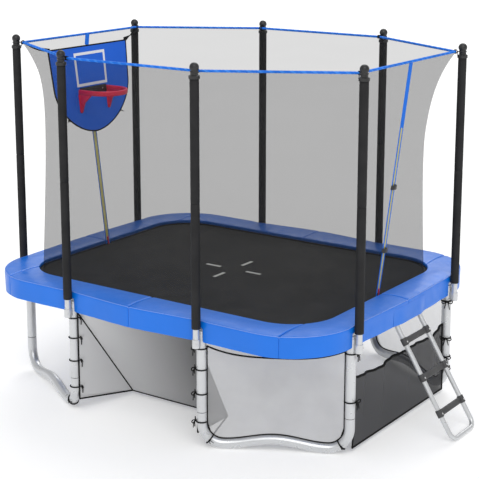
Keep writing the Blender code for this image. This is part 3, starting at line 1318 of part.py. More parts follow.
# ---------------------------------------------------------------- assembly
def stand_on_origin(root):
    """Shift the trampoline so that its outline is centred over the origin."""
    bpy.context.view_layer.update()
    solids = [item for item in bpy.context.scene.objects if item.type == "MESH"]
    corners = [item.matrix_world @ vertex.co for item in solids for vertex in item.data.vertices]
    low_x, high_x = min(p.x for p in corners), max(p.x for p in corners)
    low_z = min(p.z for p in corners)
    root.location = (-(low_x + high_x) / 2, 0, -low_z)
    bpy.context.view_layer.update()


def main():
    clear_scene()
    root = empty("trampoline", (0, 0, 0))
    mat_origin = empty("mat_origin", (0, 0, MAT_TOP), root)
    ladder_hinge = empty("ladder_hinge", (FRAME_HALF_LENGTH, LADDER_MIDDLE, RAIL_HEIGHT), root)
    right_zip = empty("right_zip_origin", zip_frame(1).translation, root)
    left_zip = empty("left_zip_origin", zip_frame(-1).translation, root)
    top_frame(root)
    leg_frames(root)
    poles(root)
    foam_sleeves(root)
    pole_caps(root)
    jumping_mat(mat_origin)
    coil_springs(root)
    safety_pads(root)
    ladder_flap(root)
    safety_net(root)
    top_band(root)
    zip_tapes(root)
    zip_slider("right_zip_slider", 1, right_zip)
    zip_slider("left_zip_slider", -1, left_zip)
    door_buckles(root)
    ball_board(root)
    board_straps(root)
    hoop_plate(root)
    ball_hoop(root)
    ladder_tubes(ladder_hinge)
    ladder_steps(ladder_hinge)
    goal_net(root)
    pale_nets(root)
    end_net(root)
    stand_on_origin(root)


main()
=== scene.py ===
"""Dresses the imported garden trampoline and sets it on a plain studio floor.

Sizes are metres. Every piece is made in the trampoline's own layout, with the
middle of the jumping mat over zero, X towards the ladder, Y away from the goal net
and Z up from the ground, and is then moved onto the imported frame.
"""

import math

import bmesh
import bpy
import numpy as np
from mathutils import Matrix, Vector, noise


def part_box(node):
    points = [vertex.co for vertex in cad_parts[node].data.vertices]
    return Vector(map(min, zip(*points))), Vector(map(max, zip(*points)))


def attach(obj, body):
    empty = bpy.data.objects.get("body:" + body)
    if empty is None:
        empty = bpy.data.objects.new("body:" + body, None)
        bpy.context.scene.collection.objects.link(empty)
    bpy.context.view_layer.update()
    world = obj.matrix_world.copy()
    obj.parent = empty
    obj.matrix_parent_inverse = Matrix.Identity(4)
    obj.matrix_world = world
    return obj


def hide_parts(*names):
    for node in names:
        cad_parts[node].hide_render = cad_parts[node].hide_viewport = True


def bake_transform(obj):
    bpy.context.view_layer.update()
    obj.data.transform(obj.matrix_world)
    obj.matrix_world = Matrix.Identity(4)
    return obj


bl_info = {
    "name": "Garden Trampoline",
    "version": (1, 0, 0),
    "blender": (4, 5, 0),
    "location": "View3D > Sidebar > Trampoline",
    "description": "Dresses a packed garden trampoline and its studio stage",
    "category": "Add Mesh",
}

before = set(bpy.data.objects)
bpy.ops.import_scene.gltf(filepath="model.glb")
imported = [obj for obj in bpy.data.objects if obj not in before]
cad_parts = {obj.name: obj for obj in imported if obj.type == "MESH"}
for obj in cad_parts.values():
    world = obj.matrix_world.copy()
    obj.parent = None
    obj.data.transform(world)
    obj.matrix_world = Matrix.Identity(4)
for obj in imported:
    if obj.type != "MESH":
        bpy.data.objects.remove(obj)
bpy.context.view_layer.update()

# ---------------------------------------------------------------- sizes and counts
# In metres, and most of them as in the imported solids
GAP = 0.0003  # between pieces that touch
FRAME_HALF_LENGTH, FRAME_HALF_WIDTH, FRAME_CORNER = 1.488, 1.208, 0.46
RAIL_HEIGHT, RAIL_RADIUS = 0.868, 0.021
LEG_X, LEG_Y = 0.585, 0.721
POST_RADIUS, POST_WALL, POST_TOP = 0.036, 0.003, 0.841
FOOT_JOINT, FOOT_BEND, FOOT_HUMP = 0.265, 0.15, 0.045
STUB_DEPTH, BORE_DEPTH, SOCKET_WALL, SOCKET_HEIGHT = 0.06, 0.07, 0.005, 0.059
SOCKET_SCREW, POST_SCREW = 0.782, 0.310
POLE_OFFSET, POLE_RADIUS, POLE_BOTTOM, POLE_TOP = 0.0605, 0.0228, 0.7505, 2.600
SLEEVE_RADIUS, SLEEVE_BOTTOM, SLEEVE_SEAM = 0.032, 0.884, 1.760
CAP_BALL, CAP_NECK, CAP_THROAT = 0.032, 0.0255, 0.026
MAT_TOP, MAT_THICKNESS, HEM_WIDTH, HEM_RISE, HEM_CORNER = 0.908, 0.003, 0.070, 0.001, 0.33
MAT_HALF_LENGTH, MAT_HALF_WIDTH, MAT_CORNER = 1.315, 1.035, 0.287
MARK_REACH = (0.120, 0.258)
SPRING_RADIUS, SPRING_PITCH, SPRING_ROOM, SPRING_START = 0.011, 0.19, 0.173, 0.024
SPRING_WIRE, CORNER_SPRINGS = 0.0014, 3
SPRING_TILT = 40  # degrees up the rail's inner side where the springs end
PAD_OUTER_X, PAD_OUTER_Y, PAD_OUTER_CORNER = 1.521, 1.248, 0.48
PAD_INNER_X, PAD_INNER_Y, PAD_INNER_CORNER = 1.307, 1.005, 0.35
PAD_UNDERSIDE, PAD_TOP, PAD_CROWN, PAD_SHOULDER = 0.9115, 0.940, 0.007, 0.014
PAD_BULGE_SIDE, PAD_BULGE_END, PAD_DENT_REACH, PAD_SEAM = 0.038, 0.017, 0.10, 1.22
SKIRT_BOTTOM, SKIRT_THICKNESS, SLOT_HALF, SLOT_TOP = 0.785, 0.006, 0.035, 0.886
SLOT_ROUND, PAD_SEAM_GAP, PAD_STEP = 0.016, 0.0010, 0.022
PAD_SEAM_ANGLES = [math.degrees(math.acos((PAD_SEAM - edge + corner) / corner))
                   for edge, corner in ((PAD_INNER_X, PAD_INNER_CORNER),
                                        (PAD_OUTER_X, PAD_OUTER_CORNER))]
FLAP_HALF_WIDTH, FLAP_FLARE, FLAP_HINGE, FLAP_X = 0.24, 0.012, 0.900, 1.52
NET_BOTTOM, NET_BOTTOM_X, NET_BOTTOM_Y, NET_BOTTOM_CORNER = 0.9085, 1.2805, 0.98, 0.33
BAND_HEIGHT, BAND_RADIUS, BAND_INSET, NET_PINCH = 2.647, 0.010, 0.045, 0.20
NET_TOP = BAND_HEIGHT - BAND_RADIUS * math.cos(math.pi / 6) - 0.0005
NET_TOP_X = FRAME_HALF_LENGTH + POLE_OFFSET - BAND_INSET
NET_TOP_Y = FRAME_HALF_WIDTH + POLE_OFFSET - BAND_INSET
ZIP_SLOPE = (NET_TOP_X - NET_BOTTOM_X) / (NET_TOP - NET_BOTTOM)
SLANT = math.sqrt(1 + ZIP_SLOPE ** 2)  # length of a zip for each metre of height
ZIP_BOTTOM, RIGHT_ZIP_TOP, LEFT_ZIP_TOP, ZIP_WIDTH = 0.945, 2.150, 1.830, 0.05
TOOTH_PITCH = 0.0075
NET_HALF = 0.00075  # half the thickness of the net
BUCKLE_HEIGHTS = (1.271, 1.744)
BOARD_TOP, BOARD_TOP_X, BOARD_LEAN, BOARD_THICKNESS = 2.560, -1.450, 0.1168, 0.006
BOARD_TOP_HALF, BOARD_SIDE_HALF, BOARD_SIDE, BOARD_ROUND = 0.474, 0.455, 0.31, 0.39
BOARD_FULLNESS = 1.8
BOARD_SLANT = math.sqrt(1 + BOARD_LEAN ** 2)
HOOP_HEIGHT, HOOP_RADIUS, HOOP_ARM, HOOP_BAND, HOOP_WALL = 2.200, 0.170, 0.130, 0.040, 0.022
GUSSET_DEPTH, GUSSET_THICKNESS, HOOP_PLATE, HOOP_FULLNESS = 0.150, 0.012, 0.060, 0.55
LADDER_Y, LADDER_HALF, LADDER_TUBE = 0.030, 0.170, 0.0175
LADDER_ANGLE = 31.7  # degrees from upright
LADDER_BACK, LADDER_CORNER, LADDER_START = 0.0197, 0.060, 0.034
STEP_HEIGHTS = (0.668, 0.428, 0.193)
LOWER_NET_TOP, CORNER_NET_TOP, CORNER_NET_SAG, NET_EDGE = 0.775, 0.745, 0.070, 0.0372
GOAL_BACK_Y, GOAL_BACK_HALF, GOAL_BACK_Z, GOAL_FOOT = -0.710, 0.447, 0.030, 0.100
BACK_NET_BOTTOM, END_NET_TOP, END_NET_BOTTOM, END_NET_WAVE = 0.106, 0.550, 0.030, 0.014
TIE_RADIUS, TIE_CORD, CORD = 0.0402, 0.0048, 0.0064
FOOT_TIE_ANGLE = 52  # degrees along the bend of a foot
POST_SIDES, TIE_STEPS, CORD_SIDES = 28, 20, 6  # sides of round bars, steps of a ring
BEVEL_FROM = 35  # degrees between faces whose edge is rounded
GOAL_TIES, CORNER_TIES = (0.730, 0.577, 0.400, 0.195), (0.735, 0.385)
END_TIES, END_TOP_TIE, BACK_TIES = (0.440, 0.290, 0.205), 0.735, (0.715, 0.240)

# Stage: the camera's angles are radians and its shift is a share of the picture
CAMERA_PLACE = Vector((5.8285, -8.2447, 3.8488))
CAMERA_YAW, CAMERA_PITCH, CAMERA_SHIFT = 0.61059, 0.21533, -0.13
SENSOR_WIDTH, FARTHEST = 36.0, 200  # millimetres; metres from the camera
FLOOR_REACH, FLOOR_DROP = 40.0, 0.0005
KEY_WAY, BACK_WAY = (-0.45, 0.62, -0.80), (0.30, -0.62, -0.62)
WHITE, BLACK, UP = (1.0, 1.0, 1.0), (0.0, 0.0, 0.0), Vector((0, 0, 1))

# (x, y, outward direction) of each leg, anticlockwise from the left one of the front side
LEGS = [(-LEG_X, -FRAME_HALF_WIDTH, (0, -1)), (LEG_X, -FRAME_HALF_WIDTH, (0, -1)),
        (FRAME_HALF_LENGTH, -LEG_Y, (1, 0)), (FRAME_HALF_LENGTH, LEG_Y, (1, 0)),
        (LEG_X, FRAME_HALF_WIDTH, (0, 1)), (-LEG_X, FRAME_HALF_WIDTH, (0, 1)),
        (-FRAME_HALF_LENGTH, LEG_Y, (-1, 0)), (-FRAME_HALF_LENGTH, -LEG_Y, (-1, 0))]
POLES = [(x + POLE_OFFSET * out[0], y + POLE_OFFSET * out[1], out) for x, y, out in LEGS]
CORNERS = {"front_right": (1, -1), "back_right": (1, 1), "back_left": (-1, 1),
           "front_left": (-1, -1)}
# The two legs that share each foot tube, by corner
FOOT_PAIRS = {name: (2 * i + 1, (2 * i + 2) % 8) for i, name in enumerate(CORNERS)}

LOW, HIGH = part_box("jumping_mat")
ORIGIN = Vector(((LOW.x + HIGH.x) / 2, (LOW.y + HIGH.y) / 2, HIGH.z - MAT_TOP))


# ---------------------------------------------------------------- shape tools
def around(count):
    """Angles of so many even steps round a circle."""
    return [2 * math.pi * k / count for k in range(count)]


class Shape:
    """Points, faces and finish numbers of a piece while it is being made."""

    def __init__(self):
        self.points, self.faces, self.slots = [], [], []

    def add(self, points, faces, slot=0):
        """More points, with faces that count from the first of them."""
        first = len(self.points)
        self.points += [tuple(point) for point in points]
        self.faces += [tuple(first + i for i in face) for face in faces]
        self.slots += [slot] * len(faces)

    def skin(self, rings, slot=0, closed=False, ends=True, rounds=True):
        """Faces between rings of the same number of points. `closed` joins the last ring
        to the first, `ends` caps both and `rounds` joins each ring's last point to its
        first."""
        count, rows = len(rings[0]), len(rings)
        faces = []
        for row in range(rows if closed else rows - 1):
            a, b = row * count, (row + 1) % rows * count
            for i in range(count if rounds else count - 1):
                j = (i + 1) % count
                faces.append((a + i, a + j, b + j, b + i))
        if ends and not closed:
            faces.append(tuple(reversed(range(count))))
            faces.append(tuple((rows - 1) * count + i for i in range(count)))
        self.add([point for ring in rings for point in ring], faces, slot)

    def tube(self, path, radius, sides=16, closed=False, slot=0, lobes=None, stripes=None):
        """A round bar along a path. `radius` is one value or one a point. `lobes` is
        (number, depth, turns a metre) of the strands of a twisted rope, and `stripes`
        gives the finish number at a share of the way round."""
        path = [Vector(point) for point in path]
        count = len(path)
        radii = list(radius) if hasattr(radius, "__len__") else [radius] * count
        rings, normal, run = [], None, 0.0
        for i, point in enumerate(path):
            before = path[i - 1] if i or closed else point
            after = path[(i + 1) % count] if i < count - 1 or closed else point
            way = (after - before).normalized()
            if normal is None:
                normal = UP if abs(way.z) < 0.9 else Vector((1, 0, 0))
            normal = (normal - way * normal.dot(way)).normalized()
            side = way.cross(normal)
            if i:
                run += (point - path[i - 1]).length
            ring = []
            for angle in around(sides):
                reach = radii[i]
                if lobes:
                    number, depth, turns = lobes
                    reach *= 1 - depth * (1 - abs(math.cos(number * angle / 2)))
                    angle += 2 * math.pi * turns * run
                ring.append(point + normal * (reach * math.cos(angle))
                            + side * (reach * math.sin(angle)))
            rings.append(ring)
        first = len(self.faces)
        self.skin(rings, slot, closed)
        if stripes:
            for face in range(sides * (count if closed else count - 1)):
                self.slots[first + face] = stripes(face % sides / sides)

    def turned(self, profile, sides=32, place=Matrix(), slot=0, hollow=False):
        """Turn (radius, height) points round local Z. They run from axis to axis, or as
        a loop for a `hollow` form."""
        rows, points, faces = [], [], []
        for radius, height in profile:
            if radius == 0.0:
                rows.append([len(points)])
                points.append(place @ Vector((0, 0, height)))
                continue
            rows.append(range(len(points), len(points) + sides))
            for i in range(sides):
                angle = 2 * math.pi * (i + 0.5) / sides
                points.append(place @ Vector((radius * math.cos(angle),
                                              radius * math.sin(angle), height)))
        pairs = list(zip(rows, rows[1:]))
        if hollow:
            pairs.append((rows[-1], rows[0]))
        for low, high in pairs:
            for i in range(sides):
                j = (i + 1) % sides
                if len(low) == 1:
                    faces.append((low[0], high[j], high[i]))
                elif len(high) == 1:
                    faces.append((low[i], low[j], high[0]))
                else:
                    faces.append((low[i], low[j], high[j], high[i]))
        self.add(points, faces, slot)

    def plate(self, outline, depth, place, slot=0):
        """A flat plate: the outline in local X and Y, as thick as `depth` along Z."""
        self.skin([[place @ Vector((x, y, z)) for x, y in outline]
                   for z in (-depth / 2, depth / 2)], slot)

    def bar(self, path, across, section):
        """Carry a section of (in plane, across) points along a flat path."""
        path, across = [Vector(point) for point in path], Vector(across).normalized()
        runs = [(b - a).normalized() for a, b in zip(path, path[1:])]
        rings = []
        for point, incoming, outgoing in zip(path, runs[:1] + runs, runs + runs[-1:]):
            way = (incoming + outgoing).normalized()
            stretch = 1.0 / max(way.dot(incoming), 0.3)
            normal = across.cross(way)
            rings.append([point + normal * (a * stretch) + across * b for a, b in section])
        self.skin(rings)


def arc(centre, radius, start, end, steps):
    """Points of an arc in the plane, angles in degrees."""
    angles = [math.radians(start + (end - start) * i / steps) for i in range(steps + 1)]
    return [(centre[0] + radius * math.cos(angle), centre[1] + radius * math.sin(angle))
            for angle in angles]


def rounded_rectangle(half_x, half_y, radius, steps):
    """Outline of a rounded rectangle, anticlockwise from its right side."""
    outline = []
    for turn, (sign_x, sign_y) in enumerate(((1, -1), (1, 1), (-1, 1), (-1, -1))):
        centre = (sign_x * (half_x - radius), sign_y * (half_y - radius))
        outline += arc(centre, radius, 90 * turn - 90, 90 * turn, steps)
    return outline


def finer(points, step, closed=False):
    """The same straight runs with points no further apart than a step."""
    points = [Vector(point) for point in points]
    ends = points[1:] + ([points[0]] if closed else [])
    result = []
    for a, b in zip(points, ends):
        parts = max(1, math.ceil((b - a).length / step))
        result += [a.lerp(b, i / parts) for i in range(parts)]
    return result if closed else result + [points[-1]]


def rounded_path(points, radius, steps=6, closed=False):
    """A path of straight runs with its corners rounded."""
    points = [Vector(point) for point in points]
    count, result = len(points), []
    for i, point in enumerate(points):
        if not closed and i in (0, count - 1):
            result.append(point)
            continue
        before, after = points[i - 1], points[(i + 1) % count]
        room = min(radius, (point - before).length * 0.45, (after - point).length * 0.45)
        a = point + (before - point).normalized() * room
        b = point + (after - point).normalized() * room
        for k in range(steps + 1):
            t = k / steps
            result.append(a.lerp(point, t).lerp(point.lerp(b, t), t))
    return result


def flowing(points, parts):
    """A smooth line through points, `parts` steps between neighbours."""
    points = [Vector(point) for point in points]
    result = []
    for i in range(len(points) - 1):
        a, b = points[max(i - 1, 0)], points[i]
        c, d = points[i + 1], points[min(i + 2, len(points) - 1)]
        for k in range(parts):
            t = k / parts
            result.append(0.5 * (2 * b + (c - a) * t + (2 * a - 5 * b + 4 * c - d) * t ** 2
                                 + (3 * b - a - 3 * c + d) * t ** 3))
    return result + [points[-1]]


def moved(step):
    """A frame moved by a step."""
    return Matrix.Translation(step)


def facing(x, y, z, out):
    """A frame at a place whose local X points outward."""
    return moved((x, y, z)) @ Matrix.Rotation(math.atan2(out[1], out[0]), 4, "Z")


def frame_of(place, x, y, z):
    """A frame at a place from the directions of its three axes."""
    return moved(place) @ Matrix((x, y, z)).transposed().to_4x4()


def eased(t):
    """A smooth step from 0 to 1."""
    t = min(max(t, 0.0), 1.0)
    return t * t * (3 - 2 * t)


def swell(along, half_span, height):
    """A smooth rise that is full at the middle and zero at +-half_span."""
    if abs(along) >= half_span:
        return 0.0
    return height * math.cos(math.pi * along / (2 * half_span)) ** 2


def wave(x, y, z, size, seed=0.0):
    """Smooth unevenness between about -1 and 1, the same at every run."""
    return noise.noise(Vector((x / size + seed, y / size - seed, z / size + 2 * seed)))


def piece(name, shape, finishes, body, replaces=(), closed=True, smooth=True,
          bevel=0.0, sharp=40.0):
    """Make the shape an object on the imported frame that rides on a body. `sharp` is the
    angle in degrees from which an edge stays sharp."""
    mesh = bpy.data.meshes.new(name)
    points = np.array(shape.points) + np.array(ORIGIN)
    mesh.from_pydata(points.tolist(), [], shape.faces)
    for finish in finishes if isinstance(finishes, (list, tuple)) else [finishes]:
        mesh.materials.append(finish)
    mesh.polygons.foreach_set("material_index", shape.slots)
    made = bpy.data.objects.new(name, mesh)
    bpy.context.scene.collection.objects.link(made)
    if closed:
        work = bmesh.new()
        work.from_mesh(mesh)
        bmesh.ops.recalc_face_normals(work, faces=work.faces)
        work.to_mesh(mesh)
        work.free()
    if bevel:
        edge = made.modifiers.new("edge", "BEVEL")
        edge.width, edge.segments, edge.limit_method = bevel, 2, "ANGLE"
        edge.angle_limit = math.radians(BEVEL_FROM)
        depsgraph = bpy.context.evaluated_depsgraph_get()
        rounded = bpy.data.meshes.new_from_object(made.evaluated_get(depsgraph))
        made.modifiers.clear()
        made.data = rounded
        rounded.name = name
    if smooth:
        made.data.shade_smooth()
        made.data.set_sharp_from_angle(angle=math.radians(sharp))
    if body:
        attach(made, body)
    if replaces:
        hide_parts(*replaces)
    return made


def cord_piece(name, shape, body="frame"):
    """A piece of black cord that stands for no solid."""
    return piece(name, shape, black_cord(), body, ())


# ---------------------------------------------------------------- finishes
def srgb(red, green, blue):
    """Scene colour of a display colour given from 0 to 255."""
    def linear(value):
        value /= 255
        return value / 12.92 if value <= 0.04045 else ((value + 0.055) / 1.055) ** 2.4
    return (linear(red), linear(green), linear(blue))


def mixed(colour, other, share):
    """A colour that lies a share of the way towards another one."""
    return tuple(a + (b - a) * share for a, b in zip(colour, other))


WAVES_A_METRE = 20  # of the wave texture at a scale of one


def put(node, **values):
    """Set sockets of a node. A space in a socket's name is written as an underscore."""
    for socket, value in values.items():
        node.inputs[socket.replace("_", " ")].default_value = value
    return node


class Finish:
    """A procedural material under construction."""

    def __init__(self, name, colour, roughness, metallic=0.0, **sockets):
        self.material = bpy.data.materials.new(name)
        self.material.use_nodes = True
        self.material.diffuse_color = (*colour, 1.0)
        self.tree = self.material.node_tree
        self.shader = self.tree.nodes["Principled BSDF"]
        self.colour = colour
        put(self.shader, Base_Color=(*colour, 1.0), Roughness=roughness, Metallic=metallic,
            **sockets)
        self.place = self.node("ShaderNodeTexCoord").outputs["Object"]
        self.normal = None

    def node(self, kind, **settings):
        """A new node with its settings."""
        made = self.tree.nodes.new(kind)
        for name, value in settings.items():
            setattr(made, name, value)
        return made

    def link(self, source, target):
        self.tree.links.new(source, target)

    def placed(self, texture, output):
        """The output of a texture that lies over the object's own places."""
        self.link(self.place, texture.inputs["Vector"])
        return texture.outputs[output]

    def noise(self, scale, detail=2.0):
        made = put(self.node("ShaderNodeTexNoise"), Scale=scale, Detail=detail)
        return self.placed(made, "Fac")

    def cells(self, scale):
        return self.placed(put(self.node("ShaderNodeTexVoronoi"), Scale=scale), "Distance")

    def bands(self, scale, axis):
        made = put(self.node("ShaderNodeTexWave", bands_direction=axis), Scale=scale)
        return self.placed(made, "Fac")

    def maths(self, operation, a, b):
        made = self.node("ShaderNodeMath", operation=operation)
        for socket, value in zip(made.inputs, (a, b)):
            self.link(value, socket)
        return made.outputs["Value"]

    def weave(self, threads):
        """Crossing threads, so many a metre, on whichever faces the surface has."""
        x, y, z = (self.bands(threads / WAVES_A_METRE, axis) for axis in "XYZ")
        return self.maths("ADD", self.maths("MULTIPLY", x, y), z)

    def tint(self, factor, other, low=0.35, high=0.75):
        """Let the colour run to another one with a factor."""
        ramp = self.node("ShaderNodeValToRGB")
        for element, position, colour in zip(ramp.color_ramp.elements, (low, high),
                                             (self.colour, other)):
            element.position, element.color = position, (*colour, 1.0)
        self.link(factor, ramp.inputs["Fac"])
        self.link(ramp.outputs["Color"], self.shader.inputs["Base Color"])

    def ranged(self, value, **ends):
        """A value brought from one range to another."""
        made = put(self.node("ShaderNodeMapRange"), **ends)
        self.link(value, made.inputs["Value"])
        return made.outputs["Result"]

    def along(self, axis, start, end):
        """0 to 1 between two places on an axis of the trampoline."""
        there = self.placed(self.node("ShaderNodeSeparateXYZ"), axis)
        return self.ranged(there, From_Min=start, From_Max=end)

    def gloss(self, factor, low, high):
        """Let the roughness run between two values with a factor."""
        made = self.ranged(factor, From_Min=0.3, From_Max=0.7, To_Min=low, To_Max=high)
        self.link(made, self.shader.inputs["Roughness"])

    def bump(self, height, depth, strength):
        """Raise the surface by a height, on top of the bumps that it has."""
        made = put(self.node("ShaderNodeBump"), Strength=strength, Distance=depth)
        self.link(height, made.inputs["Height"])
        if self.normal:
            self.link(self.normal, made.inputs["Normal"])
        self.normal = made.outputs["Normal"]
        self.link(self.normal, self.shader.inputs["Normal"])


def steel(name, colour, roughness):
    """Zinc-coated or plain wire and tube, slightly uneven in tone."""
    made = Finish(name, colour, roughness, 0.55)
    made.tint(made.noise(5), mixed(colour, (0.40, 0.41, 0.43), 0.14), 0.40, 0.80)
    made.gloss(made.noise(12), roughness - 0.03, roughness + 0.04)
    return made.material


def plastic(name, colour, roughness):
    """Moulded plastic with a fine grain."""
    made = Finish(name, colour, roughness)
    made.tint(made.noise(18, 3.0), mixed(colour, (0.5, 0.5, 0.5), 0.05), 0.4, 0.9)
    made.gloss(made.noise(60), roughness - 0.06, roughness + 0.08)
    made.bump(made.cells(900), 0.00015, 0.5)
    return made.material


def foam(name, colour):
    """Closed foam: small cells under a slightly uneven skin."""
    made = Finish(name, colour, 0.78, Specular_IOR_Level=0.35)
    made.tint(made.noise(9, 4.0), mixed(colour, (0.2, 0.2, 0.2), 0.04), 0.4, 0.8)
    made.bump(made.cells(420), 0.0006, 0.5)
    made.bump(made.noise(26, 3.0), 0.0012, 0.5)
    return made.material


def vinyl(name, colour, roughness=0.33):
    """Coated cloth: a fine weave under a soft skin, with slight creases."""
    made = Finish(name, colour, roughness, Specular_IOR_Level=0.44)
    made.tint(made.noise(3.5, 3.0), mixed(colour, BLACK, 0.07))
    made.gloss(made.noise(14, 3.0), roughness - 0.05, roughness + 0.10)
    made.bump(made.noise(9, 3.0), 0.0011, 0.5)
    made.bump(made.weave(800), 0.00012, 0.4)
    return made.material


def cloth(name, colour, threads, roughness=0.75, tone=0.25):
    """Woven cloth or webbing."""
    made = Finish(name, colour, roughness, Specular_IOR_Level=0.25)
    made.tint(made.noise(2.5, 3.0), mixed(colour, BLACK, tone))
    made.bump(made.weave(threads), 0.0005, 0.6)
    return made.material


def netting(name, colour, cover):
    """Fine see-through net: one even cover, matt threads that don't glitter."""
    made = Finish(name, colour, 0.9, Alpha=cover, Specular_IOR_Level=0.08)
    made.tint(made.noise(2.5, 3.0), mixed(colour, BLACK, 0.25))
    made.gloss(made.noise(8), 0.86, 0.96)
    return made.material


def mat_cloth(name, colour):
    """Tight black weave, nearly even in tone."""
    made = Finish(name, colour, 0.8, Specular_IOR_Level=0.3)
    made.tint(made.noise(1.4), mixed(colour, BLACK, 0.12))
    made.gloss(made.noise(6), 0.76, 0.86)
    return made.material


def goal_cloth_painted_shade(name, colour, cover):
    """The goal's netting, with painted shade that darkens it towards its right side."""
    made = Finish(name, colour, 0.9, Alpha=cover, Specular_IOR_Level=0.08)
    left, right = ORIGIN.x - LEG_X, ORIGIN.x + LEG_X
    # Painted shade: the colour runs almost to black from the goal's left side to its right
    made.tint(made.along("X", left, right), mixed(colour, BLACK, 0.93), 0.04, 0.98)
    return made.material


KNOWN = {}
STEEL_COLOUR, STEEL_ROUGHNESS = (0.62, 0.63, 0.64), 0.30


def known(name, maker, *values, **named):
    """The named finish, made the first time that it is asked for."""
    if name not in KNOWN:
        KNOWN[name] = maker(name, *values, **named)
    return KNOWN[name]


def galvanised():
    """The tube's finish. The steelwork makes it anew from its settings."""
    return known("galvanised steel", steel, STEEL_COLOUR, STEEL_ROUGHNESS)


def black_plastic():
    """Caps, clips and the hoop's plate."""
    return known("black plastic", plastic, (0.010, 0.010, 0.011), 0.40)


def black_cord():
    """Piping, ties, knots and straps."""
    return known("black cord", cloth, (0.004, 0.004, 0.004), 1600, 0.8)


def wire_finish(name):
    """Springs and the mat's rings."""
    return known(name, steel, (0.60, 0.60, 0.58), 0.34)


def screw_steel():
    """Heads of all screws."""
    return known("screw steel", steel, (0.62, 0.62, 0.62), 0.36)


# ---------------------------------------------------------------- settings
def length(name, text, default):
    """Setting of a length in metres."""
    return bpy.props.FloatProperty(name=name, description=text, default=default,
                                   unit="LENGTH", min=0.0)


def colour(name, text, default):
    """Setting of a scene colour."""
    return bpy.props.FloatVectorProperty(name=name, description=text, default=default,
                                         subtype="COLOR", size=3, min=0.0, max=1.0)


def share(name, text, default):
    """Setting between 0 and 1."""
    return bpy.props.FloatProperty(name=name, description=text, default=default,
                                   subtype="FACTOR", min=0.0, max=1.0)


class TrampolineSteel(bpy.types.PropertyGroup):
    """Rail, legs, poles and ladder."""

    seam_width: length("Joint width", "Width of the joint line between post and foot", 0.004)
    colour: colour("Steel", "Colour of the galvanised tube", STEEL_COLOUR)
    roughness: share("Steel roughness", "How matt the zinc is", STEEL_ROUGHNESS)


class TrampolinePads(bpy.types.PropertyGroup):
    """Safety pads over the springs."""

    colour: colour("Pad colour", "Colour of the coated cloth", srgb(0, 112, 222))
    crease: length("Crease depth", "Unevenness of the foam's top", 0.0022)
    skirt_wave: length("Skirt wave", "How far the skirt waves at its hem", 0.0050)
    piping: length("Piping radius", "Radius of the piping along the outer edge", 0.0030)


class TrampolineMat(bpy.types.PropertyGroup):
    """Jumping mat, rings and springs."""

    colour: colour("Mat colour", "Colour of the woven mat", (0.018, 0.018, 0.018))
    mark_colour: colour("Mark colour", "Colour of the four marks in the middle",
                        srgb(214, 214, 210))
    mark_width: length("Mark width", "Width of each mark", 0.028)
    turns: bpy.props.IntProperty(name="Spring turns", description="Turns of each spring",
                                 default=20, min=4, max=40)


class TrampolineEnclosure(bpy.types.PropertyGroup):
    """Poles, net, top band and doors."""

    foam_colour: colour("Foam colour", "Colour of the pole sleeves", (0.012, 0.012, 0.013))
    net_colour: colour("Net colour", "Colour of the enclosure net", (0.030, 0.030, 0.030))
    net_cover: share("Net cover", "Share of the net that its threads cover", 0.40)
    band_colour: colour("Band colour", "Colour of the twisted band", srgb(22, 118, 236))
    band_light: colour("Band highlight", "Colour of the band's second strand",
                       srgb(60, 142, 246))
    teeth_colour: colour("Zip teeth", "Colour of the zip's teeth", srgb(196, 184, 44))


class TrampolineBoard(bpy.types.PropertyGroup):
    """Ball board and hoop."""

    colour: colour("Board colour", "Colour of the ball board", srgb(6, 104, 232))
    hoop_colour: colour("Hoop colour", "Colour of the hoop", srgb(226, 26, 72))
    outline_width: length("Outline width", "Width of the white outline", 0.022)


class TrampolineLowerNets(bpy.types.PropertyGroup):
    """Nets below the frame."""

    # The pale colour is painted light: it brightens dark thread to stand in for the lit floor
    # seen through the corner and back nets
    pale_colour: colour("Pale net", "Colour of the corner nets", (0.70, 0.70, 0.71))
    goal_colour: colour("Goal net", "Colour of the goal net", (0.56, 0.56, 0.565))
    goal_cover: share("Goal net cover", "Share that the goal net's threads cover", 0.86)
    pale_cover: share("Pale net cover", "Share that the pale net's threads cover", 0.44)
    dark_colour: colour("Dark net", "Colour of the end net", (0.030, 0.030, 0.032))
    dark_cover: share("Dark net cover", "Share that the dark net's threads cover", 0.87)


class TrampolineStage(bpy.types.PropertyGroup):
    """Studio floor, light and camera."""

    floor_glow: share("Floor glow", "Light that the floor gives by itself", 0.29)
    sky: share("Sky light", "Brightness of the even light all round", 0.62)
    key: bpy.props.FloatProperty(name="Key light", description="Strength of the soft key",
                                 default=1.20, min=0.0)
    back_light: bpy.props.FloatProperty(name="Back light",
                                        description="Strength of the light behind it",
                                        default=1.05, min=0.0)
    lens: bpy.props.FloatProperty(name="Lens", description="Focal length of the camera",
                                  default=100.94, unit="CAMERA", min=10.0)


# ---------------------------------------------------------------- steel
def rail():
    """The bent top rail, with the stubs below it that stand in the posts."""
    shape = Shape()
    outline = rounded_rectangle(FRAME_HALF_LENGTH, FRAME_HALF_WIDTH, FRAME_CORNER, 16)
    shape.tube([(x, y, RAIL_HEIGHT) for x, y in outline], RAIL_RADIUS, 20, closed=True)
    radius = POST_RADIUS - POST_WALL - GAP
    low, high = POST_TOP - STUB_DEPTH, RAIL_HEIGHT - RAIL_RADIUS * 0.5
    stub = [(0.0, low), (radius, low), (radius, high), (0.0, high)]
    for x, y, out in LEGS:
        shape.turned(stub, 24, facing(x, y, 0, out))
    piece("top_rail", shape, galvanised(), "frame", ["top_frame"])


def hump_rise(part):
    """How far the foot tube lies above the ground at a share of the way along it."""
    return FOOT_HUMP * (1 - math.cos(2 * math.pi * part)) / 2


